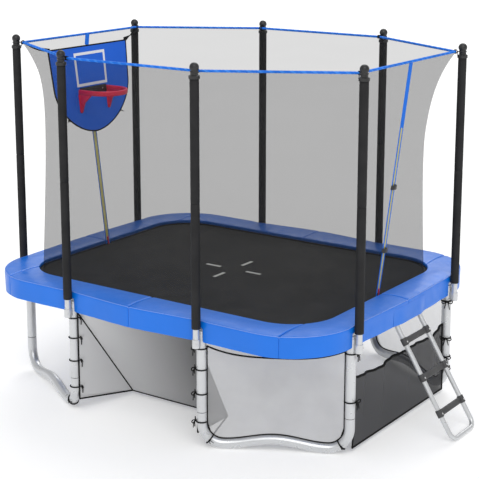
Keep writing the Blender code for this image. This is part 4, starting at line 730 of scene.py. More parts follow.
def leg_line(span, seam):
    """((distance, height), radius) down one post, along the foot and up the other. A
    groove `seam` wide shows where post and foot meet."""
    narrow, half, edge = POST_RADIUS - 0.0015, seam / 2, 0.0004
    post = [(POST_TOP, POST_RADIUS), (FOOT_JOINT + half + edge, POST_RADIUS),
            (FOOT_JOINT + half, narrow), (FOOT_JOINT - half, narrow),
            (FOOT_JOINT - half - edge, POST_RADIUS)]
    centre = POST_RADIUS + FOOT_BEND
    bend = arc((FOOT_BEND, centre), FOOT_BEND, 180, 270, 14)
    hump = []
    parts = 24
    for i in range(1, parts):
        hump.append((FOOT_BEND + (span - 2 * FOOT_BEND) * (i / parts),
                     POST_RADIUS + hump_rise(i / parts)))
    points = [((0.0, z), radius) for z, radius in post]
    points += [(p, POST_RADIUS) for p in bend + hump]
    points += [((span - s, z), POST_RADIUS) for s, z in reversed(bend)]
    return points + [((span, z), radius) for z, radius in reversed(post)]


def screw_head(shape, place, radius=0.007, height=0.0045, slot=0):
    """A domed screw head, standing along local X."""
    turned = place @ Matrix.Rotation(math.pi / 2, 4, "Y")
    shape.turned([(0.0, -0.002), (radius, -0.002), (radius, height * 0.45),
                  (radius * 0.8, height * 0.8), (radius * 0.4, height), (0.0, height)],
                 12, turned, slot)


def post_pair(corner, first=True):
    """Feet of the two posts of a pair and the direction from one to the other."""
    pair = FOOT_PAIRS[corner] if first else FOOT_PAIRS[corner][::-1]
    start, end = (Vector((*LEGS[leg][:2], 0)) for leg in pair)
    return start, end, (end - start).normalized()


def socket(shape, leg):
    """The cup on the outside of a post in which an enclosure pole stands."""
    x, y, out = POLES[leg]
    cup, outer = POLE_RADIUS + GAP, POLE_RADIUS + GAP + SOCKET_WALL
    floor = POLE_BOTTOM - GAP
    rim = floor + SOCKET_HEIGHT
    shape.turned([(0.0, floor - 0.003), (outer - 0.001, floor - 0.003),
                  (outer, floor - 0.002), (outer, floor + 0.058), (outer - 0.001, rim),
                  (cup, rim), (cup, floor), (0.0, floor)], POST_SIDES, facing(x, y, 0, out))
    turn = Matrix.Rotation(math.pi / 5, 4, "Z")
    screw_head(shape, facing(x, y, SOCKET_SCREW, out) @ turn
               @ moved((outer - 0.0015, 0, 0)), slot=2)


def legs(settings):
    """The four pairs of posts with their foot tubes, sockets and screws."""
    bore = POST_RADIUS - POST_WALL
    inside = [(POST_RADIUS, POST_TOP), (bore, POST_TOP), (bore, POST_TOP - BORE_DEPTH),
              (0.0, POST_TOP - BORE_DEPTH)]
    finishes = [galvanised(), known("joint shadow", plastic, (0.05, 0.05, 0.05), 0.6),
                screw_steel()]
    for corner, pair in FOOT_PAIRS.items():
        first, second, way = post_pair(corner)
        line = leg_line((second - first).length, settings.seam_width)
        shape = Shape()
        rings = []
        across = way.cross(UP)
        path = [first + way * s + Vector((0, 0, z)) for (s, z), _ in line]
        for i, (_, radius) in enumerate(line):
            before, after = path[max(i - 1, 0)], path[min(i + 1, len(path) - 1)]
            normal = across.cross((after - before).normalized())
            rings.append([path[i] + normal * (radius * math.cos(angle))
                          + across * (radius * math.sin(angle))
                          for angle in around(POST_SIDES)])
        shape.skin(rings, ends=False)
        for row in (2, len(line) - 4):
            for k in range(POST_SIDES):
                shape.slots[row * POST_SIDES + k] = 1
        for leg in pair:
            x, y, out = LEGS[leg]
            shape.turned(inside, POST_SIDES, facing(x, y, 0, out))
            socket(shape, leg)
            screw_head(shape, facing(x, y, POST_SCREW, out)
                       @ moved((POST_RADIUS - 0.001, 0, 0)), slot=2)
        piece(f"leg_pair_{corner}", shape, finishes, "frame", [f"leg_frame_{corner}"],
              closed=False)


# ---------------------------------------------------------------- poles, sleeves and caps
def cap_line():
    """Collar, neck with a bead, and ball."""
    bottom = POLE_TOP + GAP
    collar = bottom + 0.022
    neck = collar + 0.036
    centre = neck + CAP_BALL * math.cos(math.asin(CAP_THROAT / CAP_BALL))
    line = [(0.0, bottom), (0.0365, bottom), (0.0375, bottom + 0.001),
            (0.0375, collar - 0.0015), (0.036, collar), (0.030, collar + 0.003),
            (CAP_THROAT, collar + 0.007),
            (CAP_NECK, BAND_HEIGHT - 0.006), (0.029, BAND_HEIGHT - 0.003), (0.030, BAND_HEIGHT),
            (0.029, BAND_HEIGHT + 0.003), (CAP_NECK, BAND_HEIGHT + 0.006)]
    line += arc((0.0, centre), CAP_BALL, -math.degrees(math.acos(CAP_NECK / CAP_BALL)), 88, 14)
    return line + [(0.0, centre + CAP_BALL)]


def band_corners():
    """Corners of the band: the poles' octagon moved inward."""
    points = [Vector((x, y)) for x, y, _ in POLES]
    lines = []
    for a, b in zip(points, points[1:] + points[:1]):
        way = (b - a).normalized()
        normal = Vector((way.y, -way.x))
        lines.append((normal, normal.dot(a) - BAND_INSET))
    corners = []
    for i, (n2, d2) in enumerate(lines):
        n1, d1 = lines[i - 1]
        det = n1.x * n2.y - n1.y * n2.x
        corners.append(Vector(((d1 * n2.y - d2 * n1.y) / det, (n1.x * d2 - n2.x * d1) / det)))
    return corners


def sleeve_line(x, y):
    """(radius, height) points of a foam sleeve: slightly uneven, with a seam part way up."""
    bore, top = POLE_RADIUS + GAP, POLE_TOP - GAP
    line = [(bore, SLEEVE_BOTTOM), (SLEEVE_RADIUS - 0.003, SLEEVE_BOTTOM)]
    heights = [SLEEVE_BOTTOM + 0.002 + i * 0.04 for i in range(43)]
    for z in (z for z in heights if abs(z - SLEEVE_SEAM) > 0.01 and z < top - 0.01):
        line.append((SLEEVE_RADIUS - 0.0003 - 0.0006 * abs(wave(x, y, z, 0.11)), z))
    line += [(SLEEVE_RADIUS - depth, SLEEVE_SEAM + rise) for depth, rise in
             ((0.0008, -0.003), (0.004, -0.0005), (0.004, 0.0005), (0.0008, 0.003))]
    line.sort(key=lambda item: item[1])
    return line + [(SLEEVE_RADIUS - 0.001, top - 0.002), (SLEEVE_RADIUS - 0.003, top),
                   (bore, top)]


def poles(settings):
    """Poles, foam sleeves and ball caps."""
    sleeve_finish = known("black foam", foam, tuple(settings.foam_colour))
    pole_line = [(0.0, POLE_BOTTOM), (POLE_RADIUS - 0.001, POLE_BOTTOM),
                 (POLE_RADIUS, POLE_BOTTOM + 0.001), (POLE_RADIUS, POLE_TOP - 0.001),
                 (POLE_RADIUS - 0.001, POLE_TOP), (0.0, POLE_TOP)]
    for number, ((x, y, out), corner) in enumerate(zip(POLES, band_corners()), start=1):
        spot = facing(x, y, 0, out)
        shape = Shape()
        shape.turned(pole_line, POST_SIDES, spot)
        piece(f"pole_{number}", shape, galvanised(), "frame", [f"enclosure_pole_{number}"])
        shape = Shape()
        shape.turned(sleeve_line(x, y), POST_SIDES, spot, hollow=True)
        made = piece(f"sleeve_{number}", shape, sleeve_finish, "frame",
                     [f"foam_sleeve_{number}"], sharp=60)
        shape = Shape()
        shape.turned(cap_line(), 32, spot)
        toward = Vector((corner.x - x, corner.y - y, 0))
        reach = toward.length * (1 - BAND_RADIUS / BAND_INSET)
        toward.normalize()
        middle = Vector((x, y, BAND_HEIGHT))
        shape.tube([middle + toward * 0.022, middle + toward * (reach - 0.0035)], 0.0034, 8)
        piece(f"cap_{number}", shape, black_plastic(), "frame", [f"pole_cap_{number}"])


# ---------------------------------------------------------------- mat and springs
def spring_lines():
    """(name of its group, point on the mat's edge, outward direction) of each spring."""
    lines = []
    sides = {(1, 0): "right", (-1, 0): "left", (0, 1): "back", (0, -1): "front"}
    straight_x, straight_y = MAT_HALF_LENGTH - MAT_CORNER, MAT_HALF_WIDTH - MAT_CORNER
    for half_run, edge, ends in ((straight_x, MAT_HALF_WIDTH, False),
                                 (straight_y, MAT_HALF_LENGTH, True)):
        for i in range(int(half_run / SPRING_PITCH + 0.5)):
            along = SPRING_PITCH * (i + 0.5)
            for sign in (-1, 1):
                for side in (-1, 1):
                    point = (side * edge, sign * along) if ends else (sign * along, side * edge)
                    out = (side, 0) if ends else (0, side)
                    lines.append((sides[out], Vector((*point, 0)), Vector((*out, 0))))
    for corner, (sign_x, sign_y) in CORNERS.items():
        centre = Vector((sign_x * straight_x, sign_y * straight_y, 0))
        for i in range(CORNER_SPRINGS):
            angle = math.pi / 2 * (i + 0.5) / CORNER_SPRINGS
            out = Vector((sign_x * math.cos(angle), sign_y * math.sin(angle), 0))
            lines.append((f"{corner}_{i + 1}", centre + out * MAT_CORNER, out))
    return lines


def coil(shape, start, end, turns):
    """A wound spring with straight wire at both ends."""
    way = (end - start).normalized()
    side = way.cross(UP).normalized()
    up = side.cross(way)
    wound = SPRING_RADIUS - 0.0016
    path = [start, start.lerp(end, 0.12)]
    steps = turns * 8
    for i in range(steps + 1):
        t = i / steps
        grow = min(1.0, t / 0.05, (1 - t) / 0.05)
        angle = 2 * math.pi * turns * t
        point = start.lerp(end, 0.24 + 0.60 * t)
        path.append(point + (side * math.cos(angle) + up * math.sin(angle)) * (wound * grow))
    path += [start.lerp(end, 0.90), end]
    shape.tube(path, SPRING_WIRE, 4)


def springs(settings):
    """Wound springs that stretch between the rail and the mat."""
    spring_finish = wire_finish("spring wire")
    angle = math.radians(SPRING_TILT)
    reach = SPRING_ROOM - (RAIL_RADIUS + 2 * GAP) * math.cos(angle)
    rail_end = RAIL_HEIGHT + (RAIL_RADIUS + 2 * GAP) * math.sin(angle)
    groups = {}
    for name, edge, out in spring_lines():
        groups.setdefault(name, []).append((edge, out))
    made = []
    for name, lines in groups.items():
        shape = Shape()
        for edge, out in lines:
            start = edge + out * SPRING_START + Vector((0, 0, MAT_TOP - 0.0035))
            coil(shape, start, edge + out * reach + Vector((0, 0, rail_end)), settings.turns)
        group = piece(f"springs_{name}", shape, spring_finish, None, ())
        edge, out = lines[0]
        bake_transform(group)
        made.append(group)
    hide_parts("coil_springs")
    return made


def mat(settings):
    """The bed with its sewn hem, the rings on it and the four marks."""
    shape = Shape()
    inner = (MAT_HALF_LENGTH - HEM_WIDTH, MAT_HALF_WIDTH - HEM_WIDTH, HEM_CORNER)
    outer = (MAT_HALF_LENGTH, MAT_HALF_WIDTH, MAT_CORNER)
    low, high = MAT_TOP - MAT_THICKNESS, MAT_TOP
    bed = MAT_TOP - HEM_RISE

    def hem(part):
        return [a + (b - a) * part for a, b in zip(inner, outer)]

    def within(part):
        return [value * part for value in inner]

    rings = [(within(0.4), low + 0.0004), (within(1.0), low + 0.0004), (hem(0.05), low),
             (hem(0.99), low), (outer, low + 0.0006), (outer, high - 0.0006), (hem(0.99), high),
             (hem(0.55), high - 0.0001), (hem(0.5), high - 0.0005), (hem(0.45), high - 0.0001),
             (hem(0.02), high), (inner, bed), (within(0.75), bed), (within(0.4), bed)]
    shape.skin([[(x, y, z) for x, y in rounded_rectangle(*size, 12)] for size, z in rings])
    woven = known("woven mat", mat_cloth, tuple(settings.colour))
    made = piece("mat_bed", shape, woven, "mat", ["jumping_mat"])
    marks, half = Shape(), settings.mark_width / 2
    start, end = MARK_REACH
    line = [(start, -half), (end, -half), (end, half), (start, half)]
    for turn in range(4):
        place = Matrix.Rotation(math.pi / 2 * turn, 4, "Z")
        marks.plate(line, 0.0004, place @ moved((0, 0, bed + 0.0002)))
    white = known("mark tape", cloth, tuple(settings.mark_colour), 1200, 0.6)
    spots = piece("mat_marks", marks, white, "mat", (), smooth=False)
    wires = Shape()
    height = Vector((0, 0, MAT_TOP - 0.0033))
    for _, edge, out in spring_lines():
        side = Vector((-out.y, out.x, 0))
        root = edge + out * 0.0022 + height
        tip = edge + out * 0.026 + height
        triangle = [root - side * 0.016, tip - side * 0.002, tip + side * 0.002,
                    root + side * 0.016, root - side * 0.012]
        wires.tube(rounded_path(triangle, 0.004, 3), 0.0016, 6)
    loops = piece("mat_rings", wires, wire_finish("ring wire"), "mat", ())
    return made, spots, loops


# ---------------------------------------------------------------- pads
# The outer edge of the pads bulges between the poles and is pressed in by them
def dented(past_pole, half_frame, pad_edge):
    """How deep a pole presses the edge in at a distance along it."""
    sleeve_face = half_frame + POLE_OFFSET - SLEEVE_RADIUS - 2 * GAP
    return swell(past_pole, PAD_DENT_REACH, pad_edge - sleeve_face)


def pad_side(x):
    """Outer edge on the back long side."""
    out = swell(x, LEG_X, PAD_BULGE_SIDE) - dented(x - LEG_X, FRAME_HALF_WIDTH, PAD_OUTER_Y)
    return Vector((x, PAD_OUTER_Y + out))


def pad_end(y):
    """Outer edge on the right end."""
    out = swell(y, LEG_Y, PAD_BULGE_END) - dented(y - LEG_Y, FRAME_HALF_LENGTH, PAD_OUTER_X)
    return Vector((PAD_OUTER_X + out, y))


def pad_corner(share, from_side=False):
    """Inner and outer edge in the back right corner, at a share of the way from its seam
    to the end, or from the side to its seam."""
    inner, outer = (90 + (seam - 90) * share if from_side else seam * (1 - share)
                    for seam in PAD_SEAM_ANGLES)
    inner, outer = math.radians(inner), math.radians(outer)
    centre_x, centre_y = PAD_OUTER_X - PAD_OUTER_CORNER, PAD_OUTER_Y - PAD_OUTER_CORNER
    radius = PAD_OUTER_CORNER - dented(centre_y - LEG_Y + PAD_OUTER_CORNER * outer,
                                       FRAME_HALF_LENGTH, PAD_OUTER_X)
    return (Vector((PAD_INNER_X - PAD_INNER_CORNER + PAD_INNER_CORNER * math.cos(inner),
                    PAD_INNER_Y - PAD_INNER_CORNER + PAD_INNER_CORNER * math.sin(inner))),
            Vector((centre_x + radius * math.cos(outer), centre_y + radius * math.sin(outer))))


def skirt_end(past_pole):
    """Height of the skirt's lower edge at a distance from a pole: an arched slot."""
    reach = abs(past_pole)
    if reach >= SLOT_HALF:
        return SKIRT_BOTTOM
    over = max(0.0, reach - (SLOT_HALF - SLOT_ROUND))
    return SLOT_TOP - (SLOT_ROUND - math.sqrt(max(SLOT_ROUND ** 2 - over ** 2, 0.0)))


def stations_between(start, end, marks):
    """Places from start to end a step apart, closer beside the seam and the marks."""
    count = max(2, math.ceil(abs(end - start) / PAD_STEP))
    places = {round(start + (end - start) * i / count, 6) for i in range(count + 1)}
    middle = min((start, end), key=abs)
    places |= {round(middle + off, 6) for off in (0.001, 0.003, 0.006, 0.010, 0.015)}
    for mark in marks:
        for off in (-0.0006, 0.0, -0.004, 0.004, -0.009, 0.009):
            if min(start, end) < mark + off < max(start, end):
                places.add(round(mark + off, 6))
    return sorted(places, reverse=end < start)


def side_pad_line():
    """(inner, outer, lower edge) from the middle of a long side to the corner seam."""
    line = []
    start = LEG_X + PAD_DENT_REACH
    for x in stations_between(PAD_SEAM_GAP, start, (LEG_X - SLOT_HALF, LEG_X + SLOT_HALF)):
        line.append((Vector((x, PAD_INNER_Y)), pad_side(x), skirt_end(x - LEG_X)))
    inner_end, outer_end = PAD_INNER_X - PAD_INNER_CORNER, PAD_OUTER_X - PAD_OUTER_CORNER
    parts = 14
    for t in (i / parts for i in range(1, parts + 1)):
        line.append((Vector((start + (inner_end - start) * t, PAD_INNER_Y)),
                     Vector((start + (outer_end - start) * t, PAD_OUTER_Y)), SKIRT_BOTTOM))
    for t in (0.15, 0.3, 0.45, 0.6, 0.72, 0.82, 0.88, 0.92, 0.95, 0.975, 0.99, 1.0):
        back = Vector((PAD_SEAM_GAP if t == 1.0 else 0.0, 0))
        inner, outer = pad_corner(t, from_side=True)
        line.append((inner - back, outer - back, SKIRT_BOTTOM))
    return line


def end_pad_line(flap_edge):
    """(inner, outer, lower edge) from the corner seam to the middle of an end. From
    `flap_edge` on, a flap takes the skirt's place."""
    line = []
    for t in [0.0, 0.004, 0.010, 0.018, 0.028, 0.045] + [i / 28 for i in range(2, 29)]:
        forth = Vector((PAD_SEAM_GAP if t == 0.0 else 0.0, 0))
        inner, outer = pad_corner(t)
        line.append((inner + forth, outer + forth, SKIRT_BOTTOM))
    straight = PAD_OUTER_Y - PAD_OUTER_CORNER
    squeeze = (PAD_INNER_Y - PAD_INNER_CORNER) / straight
    edges = [LEG_Y - SLOT_HALF, LEG_Y + SLOT_HALF]
    if flap_edge:
        edges.append(flap_edge)
    for y in stations_between(straight - 0.004, PAD_SEAM_GAP, edges):
        bottom = skirt_end(y - LEG_Y)
        if flap_edge and y <= flap_edge:
            bottom = PAD_UNDERSIDE - 0.001
        line.append((Vector((PAD_INNER_X, y * squeeze)), pad_end(y), bottom))
    return line


def pad_section(width, bottom, drop):
    """(distance from the inner edge, height) points round a pad, over its top, down the
    skirt and back up its lining. `drop` lowers the top beside a seam."""
    top, shoulder = PAD_TOP - drop, PAD_TOP - PAD_SHOULDER - drop * 0.5
    crown, high = top + PAD_CROWN * 0.75, shoulder - 0.010
    over = [(0.0, PAD_UNDERSIDE + 0.003), (0.0, top - 0.012), (0.004, top - 0.004),
            (0.014, top), (width * 0.28, crown), (width * 0.5, top + PAD_CROWN),
            (width * 0.72, crown), (width - 0.030, top + 0.0010),
            (width - 0.014, top - 0.0010), (width - 0.005, top - 0.0050),
            (width - 0.001, top - 0.0120), (width, high)]
    line = [(point.x, point.y) for point in flowing([(x, z, 0) for x, z in over], 4)]
    bottom = min(bottom, PAD_UNDERSIDE - 0.001)
    line += [(width, high + (bottom + 0.001 - high) * i / 8) for i in range(1, 9)]
    lining = width - SKIRT_THICKNESS
    line += [(width - 0.0015, bottom), (lining + 0.0015, bottom)]
    line += [(lining, bottom + 0.001 + (PAD_UNDERSIDE - bottom - 0.001) * i / 4)
             for i in range(5)]
    return line + [(width * 0.5, PAD_UNDERSIDE), (0.004, PAD_UNDERSIDE)]


def pad(name, stations, signs, settings, finish, replaced):
    """One pad of foam in coated cloth, with its hanging skirt."""
    middles = [(inner + outer) / 2 for inner, outer, _ in stations]
    run = [0.0]
    for a, b in zip(middles, middles[1:]):
        run.append(run[-1] + (b - a).length)
    seam_reach, seam_depth, skirt_top = 0.020, 0.010, PAD_TOP - 0.03
    shape, rings, edge = Shape(), [], []
    for (inner, outer, bottom), s in zip(stations, run):
        width = (outer - inner).length
        across = (outer - inner) / width
        near = min(s, run[-1] - s)  # distance from the nearer seam
        drop = 0.0
        if near < seam_reach:
            drop = seam_depth * (1 - math.sqrt(max(0.0, 1 - (1 - near / seam_reach) ** 2)))
        ring = []
        for distance, height in pad_section(width, bottom, drop):
            x, y = inner + across * distance
            if 0.012 < distance < width - 0.012 and height > PAD_UNDERSIDE + 0.01:
                calm = min(1.0, near / 0.05)
                ripple = wave(x, y, 0, 0.16, 3.1) + 0.5 * wave(x, y, 0, 0.055, 7.7)
                height += settings.crease * calm * (ripple - 0.35)
            fall = max(0.0, (skirt_top - height) / (skirt_top - SKIRT_BOTTOM))
            if distance > width - SKIRT_THICKNESS - 0.001:
                x, y = x - across.x * drop * 0.4, y - across.y * drop * 0.4
                if fall > 0 and near > 0.004:
                    sway = wave(x, y, 0, 0.17, 1.3) + 0.45 * wave(x, y, 0, 0.06, 5.9)
                    quiet = min(1.0, near / 0.06)
                    push = settings.skirt_wave * quiet * fall * (sway - 0.25)
                    x, y = x + across.x * push, y + across.y * push
            ring.append((signs[0] * x, signs[1] * y, height))
        rings.append(ring)
        inset = 0.0042 + drop * 0.4
        edge.append(Vector((signs[0] * (outer.x - across.x * inset),
                            signs[1] * (outer.y - across.y * inset),
                            PAD_TOP - 0.0052 - drop)))
    shape.skin(rings)
    last = [] if len(edge) % 2 else edge[-1:]
    # Slot 1: the piping, in the lighter blue of the painted highlight
    shape.tube(edge[::2] + last, settings.piping, 8, slot=1)
    made = piece(name, shape, finish, "frame", replaced, sharp=50)


def pads(settings):
    """Eight pads round the mat, made in one corner and mirrored to the others."""
    blue = tuple(settings.colour)
    # The piping's lighter blue is a painted highlight along the outer top edge
    finish = [known("blue coated cloth", vinyl, blue),
              known("pad piping", vinyl, mixed(blue, WHITE, 0.16), 0.30)]
    for corner, signs in CORNERS.items():
        pad(f"side_pad_{corner}_cover", side_pad_line(), signs, settings, finish,
            [f"side_pad_{corner}"])
        flap_edge = FLAP_HALF_WIDTH + signs[1] * LADDER_Y if signs[0] > 0 else None
        pad(f"end_pad_{corner}_cover", end_pad_line(flap_edge), signs, settings, finish,
            [f"end_pad_{corner}"])
    skirt_flap(settings, finish)


def skirt_flap(settings, finish):
    """The loose part of the skirt above the ladder."""
    shape, rings = Shape(), []
    top, columns, rows = PAD_UNDERSIDE - 0.001 - GAP, 26, 8
    for i in range(columns + 1):
        y = LADDER_Y + (FLAP_HALF_WIDTH - GAP) * (2 * i / columns - 1)
        outer = pad_end(abs(y)).x
        front, back = [], []
        for j in range(rows + 1):
            fall = j / rows
            calm = eased(min(i, columns - i) / columns / 0.22)
            out = calm * fall * (FLAP_FLARE + settings.skirt_wave * wave(1.5, y, 0, 0.13, 2.2))
            z = top + (SKIRT_BOTTOM - top) * fall
            front.append((outer + out, y, z))
            back.append((outer + out - SKIRT_THICKNESS, y, z))
        rings.append(front + list(reversed(back)))
    shape.skin(rings)
    flap = piece("skirt_flap", shape, finish, None, (), sharp=50)
    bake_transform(flap)
    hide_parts("ladder_flap")


# ---------------------------------------------------------------- enclosure net
def rounded_box_at(direction, half_x, half_y, radius):
    """Where a ray from the middle meets a rounded rectangle."""
    across, up = abs(direction.x), abs(direction.y)
    if across > 1e-9 and half_x / across * up <= half_y - radius:
        return direction * (half_x / across)
    if up > 1e-9 and half_y / up * across <= half_x - radius:
        return direction * (half_y / up)
    centre = Vector((half_x - radius, half_y - radius))
    ahead = across * centre.x + up * centre.y
    return direction * (ahead + math.sqrt(ahead ** 2 - centre.length_squared + radius ** 2))


def net_point(top, z):
    """A point of the net below a point of its top edge: it swings from the band's
    octagon, through an ellipse, to the rounded edge of the mat."""
    fall = (NET_TOP - z) / (NET_TOP - NET_BOTTOM)
    direction = top.normalized()
    low = rounded_box_at(direction, NET_BOTTOM_X, NET_BOTTOM_Y, NET_BOTTOM_CORNER)
    smooth = direction / math.sqrt((direction.x / NET_TOP_X) ** 2
                                   + (direction.y / NET_TOP_Y) ** 2)
    point = smooth.lerp(low, fall) + (top - smooth) * math.exp(-fall / NET_PINCH) * (1 - fall)
    # The board pushes the net outward, with an easy run beside and below it
    board_low = BOARD_TOP - BOARD_SIDE - BOARD_ROUND
    past_side = BOARD_TOP_HALF + 0.14 - abs(point.y)
    past_foot = z - board_low + 0.25
    if point.x < 0 and past_side > 0 and past_foot > 0:
        behind = BOARD_TOP_X + (BOARD_TOP - z) * BOARD_LEAN - BOARD_THICKNESS / 2 - 0.004
        push = min(behind - point.x, 0.0)
        point.x += push * eased(past_side / 0.12) * eased(past_foot / 0.23)
    return Vector((point.x, point.y, z))


def net(settings):
    """The enclosure net, its hem at the mat and the twisted band above it."""
    corners = band_corners()
    tops = finer(corners, 0.045, closed=True)
    rows, tall = 44, NET_TOP - NET_BOTTOM
    heights = [NET_TOP - tall * (i / rows) ** 1.15 for i in range(rows + 1)]
    shape = Shape()
    shape.skin([[net_point(top, z) for top in tops] for z in heights], ends=False)
    mesh = known("enclosure mesh", netting, tuple(settings.net_colour), settings.net_cover)
    made = piece("enclosure_net", shape, mesh, None, ["safety_net"],
                 closed=False, sharp=80)
    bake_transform(made)
    hem = Shape()
    foot = [net_point(top, NET_BOTTOM) + UP * 0.0024 for top in tops]
    hem.tube(foot, 0.0022, 8, closed=True)
    foot_cord = cord_piece("net_foot_cord", hem, "mat")
    twisted_band(settings, corners)
    band_knots(corners)


def twisted_band(settings, corners):
    """The rope of three strands from which the net hangs."""
    band = Shape()
    path = rounded_path([(c.x, c.y, BAND_HEIGHT) for c in corners], 0.012, 4, closed=True)
    band.tube(finer(path, 0.006, closed=True), BAND_RADIUS, 12, closed=True,
              lobes=(3, 0.16, 14.0), stripes=lambda part: 1 if part < 1 / 3 else 0)
    dark = known("blue strand", cloth, tuple(settings.band_colour), 1500, 0.55)
    light = known("light strand", cloth, tuple(settings.band_light), 1500, 0.55)
    piece("twisted_band", band, [dark, light], "frame", ["top_band"], sharp=70)


def band_knots(corners):
    """Three turns of cord and a loose end at each corner of the band."""
    knots, radius = Shape(), 0.0128
    for corner, (x, y, _) in zip(corners, POLES):
        at = Vector((corner.x, corner.y, BAND_HEIGHT))
        away = Vector((x - corner.x, y - corner.y, 0)).normalized()
        aside = Vector((away.y, -away.x, 0))
        for lean in (-0.010, 0.0, 0.010):
            centre = at - aside * lean
            knots.tube([centre + away * (radius * math.cos(angle))
                        + UP * (radius * math.sin(angle)) for angle in around(14)],
                       0.0032, CORD_SIDES, closed=True)
        end = at + away * 0.014
        loose = [end, end + aside * 0.014 - UP * 0.012, end + aside * 0.020 - UP * 0.034]
        knots.tube(flowing(loose, 4), 0.0026, CORD_SIDES)
    cord_piece("band_knots", knots)


# ---------------------------------------------------------------- doors
def zip_frame(side):
    """A frame on the net's zip line: local X outward, Y across, Z up the zip."""
    up = Vector((side * ZIP_SLOPE, 0, 1)).normalized()
    out = Vector((1, 0, -side * ZIP_SLOPE)).normalized()
    reach = NET_BOTTOM_X + ZIP_SLOPE * (ZIP_BOTTOM - NET_BOTTOM)
    return frame_of((side * reach, 0, ZIP_BOTTOM), out, up.cross(out), up)


def zip_tape(name, side, top, open_half, finishes):
    """Both halves of a zip's tape with the teeth between them, `open_half` to each side."""
    base, tape_end = NET_HALF + 2 * GAP, 0.03
    spot, shape = zip_frame(side), Shape()
    run = (top - ZIP_BOTTOM) * SLANT + tape_end
    rows = [-tape_end + (run + tape_end) * i / 40 for i in range(41)]
    edge = ZIP_WIDTH / 2
    for half in (-1, 1):
        section = [(base, half * open_half), (base, half * edge),
                   (base + 0.0012, half * edge), (base + 0.0018, half * (edge - 0.002)),
                   (base + 0.0018, half * (open_half + 0.001))]
        shape.skin([[spot @ Vector((x, y, z)) for x, y in section] for z in rows])
    tooth, thin = open_half - 0.0006, 0.0009
    for i in range(int(run / TOOTH_PITCH)):
        lean = 0.0005 if i % 2 else -0.0005
        place = spot @ moved((base + 0.0010, lean, 0.004 + i * TOOTH_PITCH))
        shape.plate([(-thin, -tooth), (thin, -tooth), (thin, tooth), (-thin, tooth)],
                    TOOTH_PITCH * 0.8, place, 1)
    piece(f"{name}_zip", shape, finishes, "frame", [f"{name}_zip_tape"],
          smooth=False)


def doors(settings):
    """Zip tapes with teeth, the upper strap, sliders with pulls and two buckles."""
    tape = known("blue tape", cloth, mixed(tuple(settings.band_colour), BLACK, 0.1), 1100)
    teeth = known("zip teeth", plastic, tuple(settings.teeth_colour), 0.4)
    zip_tape("right", 1, RIGHT_ZIP_TOP, 0.010, [tape, teeth])
    zip_tape("left", -1, LEFT_ZIP_TOP, 0.016, [tape, teeth])
    strap, spot = Shape(), zip_frame(1)
    base, half = NET_HALF + 2 * GAP, ZIP_WIDTH / 2
    low = (RIGHT_ZIP_TOP - ZIP_BOTTOM) * SLANT + 0.028
    high = (NET_TOP - ZIP_BOTTOM) * SLANT
    section = [(base, -half), (base, half), (base + 0.0022, half * 0.96),
               (base + 0.0022, -half * 0.96)]
    strap.skin([[spot @ Vector((x, y, low + (high - low) * i / 20)) for x, y in section]
                for i in range(21)])
    piece("door_strap", strap, tape, "frame", (), smooth=False)
    red = known("red plastic", plastic, srgb(196, 28, 52), 0.35)
    flat = Matrix(((0, 0, 1, 0), (1, 0, 0, 0), (0, 1, 0, 0), (0, 0, 0, 1)))
    offset = NET_HALF + 0.002 + 3 * GAP + 0.003
    body = mirrored([(0.0054, -0.015), (0.0047, -0.004), (0.0047, 0.002), (0.009, 0.009),
                     (0.009, 0.015)])
    pull = mirrored([(0.0054, -0.034), (0.0056, -0.020), (0.0035, 0.004), (0.0035, 0.015)])
    for name, side in (("right", 1), ("left", -1)):
        shape, spot = Shape(), zip_frame(side)
        shape.plate(body, 0.006, spot @ moved((offset, 0, 0.015)) @ flat)
        shape.plate(pull, 0.0028, spot @ moved((offset + 0.003, 0, 0)) @ flat)
        piece(f"{name}_zip_pull", shape, red, f"{name}_slider", [f"{name}_zip_slider"],
              bevel=0.0006)
    for name, height in zip(("lower", "upper"), BUCKLE_HEIGHTS):
        rise = (height - ZIP_BOTTOM) * SLANT
        shape = Shape()
        buckle(shape, zip_frame(1) @ moved((0, 0, rise)))
        piece(f"buckle_{name}", shape, black_plastic(), "frame", [f"door_buckle_{name}"],
              bevel=0.0008)


def mirrored(right_side):
    """Closed outline from its right side, listed upward: down again on the left."""
    (x, y), *rest = right_side
    return [(-x, y), (x, y), *rest] + [(-x, y) for x, y in reversed(rest)]


def buckle(shape, place):
    """A side-release clip that bridges the zip, with a foot on the net at both sides."""
    on_net, base, high = 0.00105, 0.00365, 0.0147
    half, foot, edge, inner = 0.022, 0.034, 0.026, 0.013
    outline = [(on_net, foot), (on_net, edge), (base, edge), (base, inner), (high, inner),
               (high, -inner), (base, -inner), (base, -edge), (on_net, -edge), (on_net, -foot),
               (on_net + 0.002, -foot), (high + 0.0048, -half), (high + 0.008, -half * 0.7),
               (high + 0.008, half * 0.7), (high + 0.0048, half), (on_net + 0.002, foot)]
    shape.plate(outline, 0.030, place)


# ---------------------------------------------------------------- board and hoop
def board_frame():
    """Frame of the leaning board: local X across, Y up the board, Z to its front."""
    up = Vector((-BOARD_LEAN, 0, 1)).normalized()
    front = Vector((1, 0, BOARD_LEAN)).normalized()
    return frame_of((BOARD_TOP_X, 0, BOARD_TOP), up.cross(front), up, front)


def board_outline(steps):
    """Shield outline: straight sides that run into a pointed oval below."""
    side = [(BOARD_TOP_HALF, 0.0), (BOARD_SIDE_HALF, -BOARD_SIDE)]
    for i in range(1, steps):
        angle = math.pi / 2 * i / steps
        side.append((BOARD_SIDE_HALF * math.cos(angle) ** (2 / BOARD_FULLNESS),
                     -BOARD_SIDE - BOARD_ROUND * math.sin(angle) ** (2 / BOARD_FULLNESS)))
    return side + [(0.0, -BOARD_SIDE - BOARD_ROUND)] + [(-x, y) for x, y in reversed(side)]


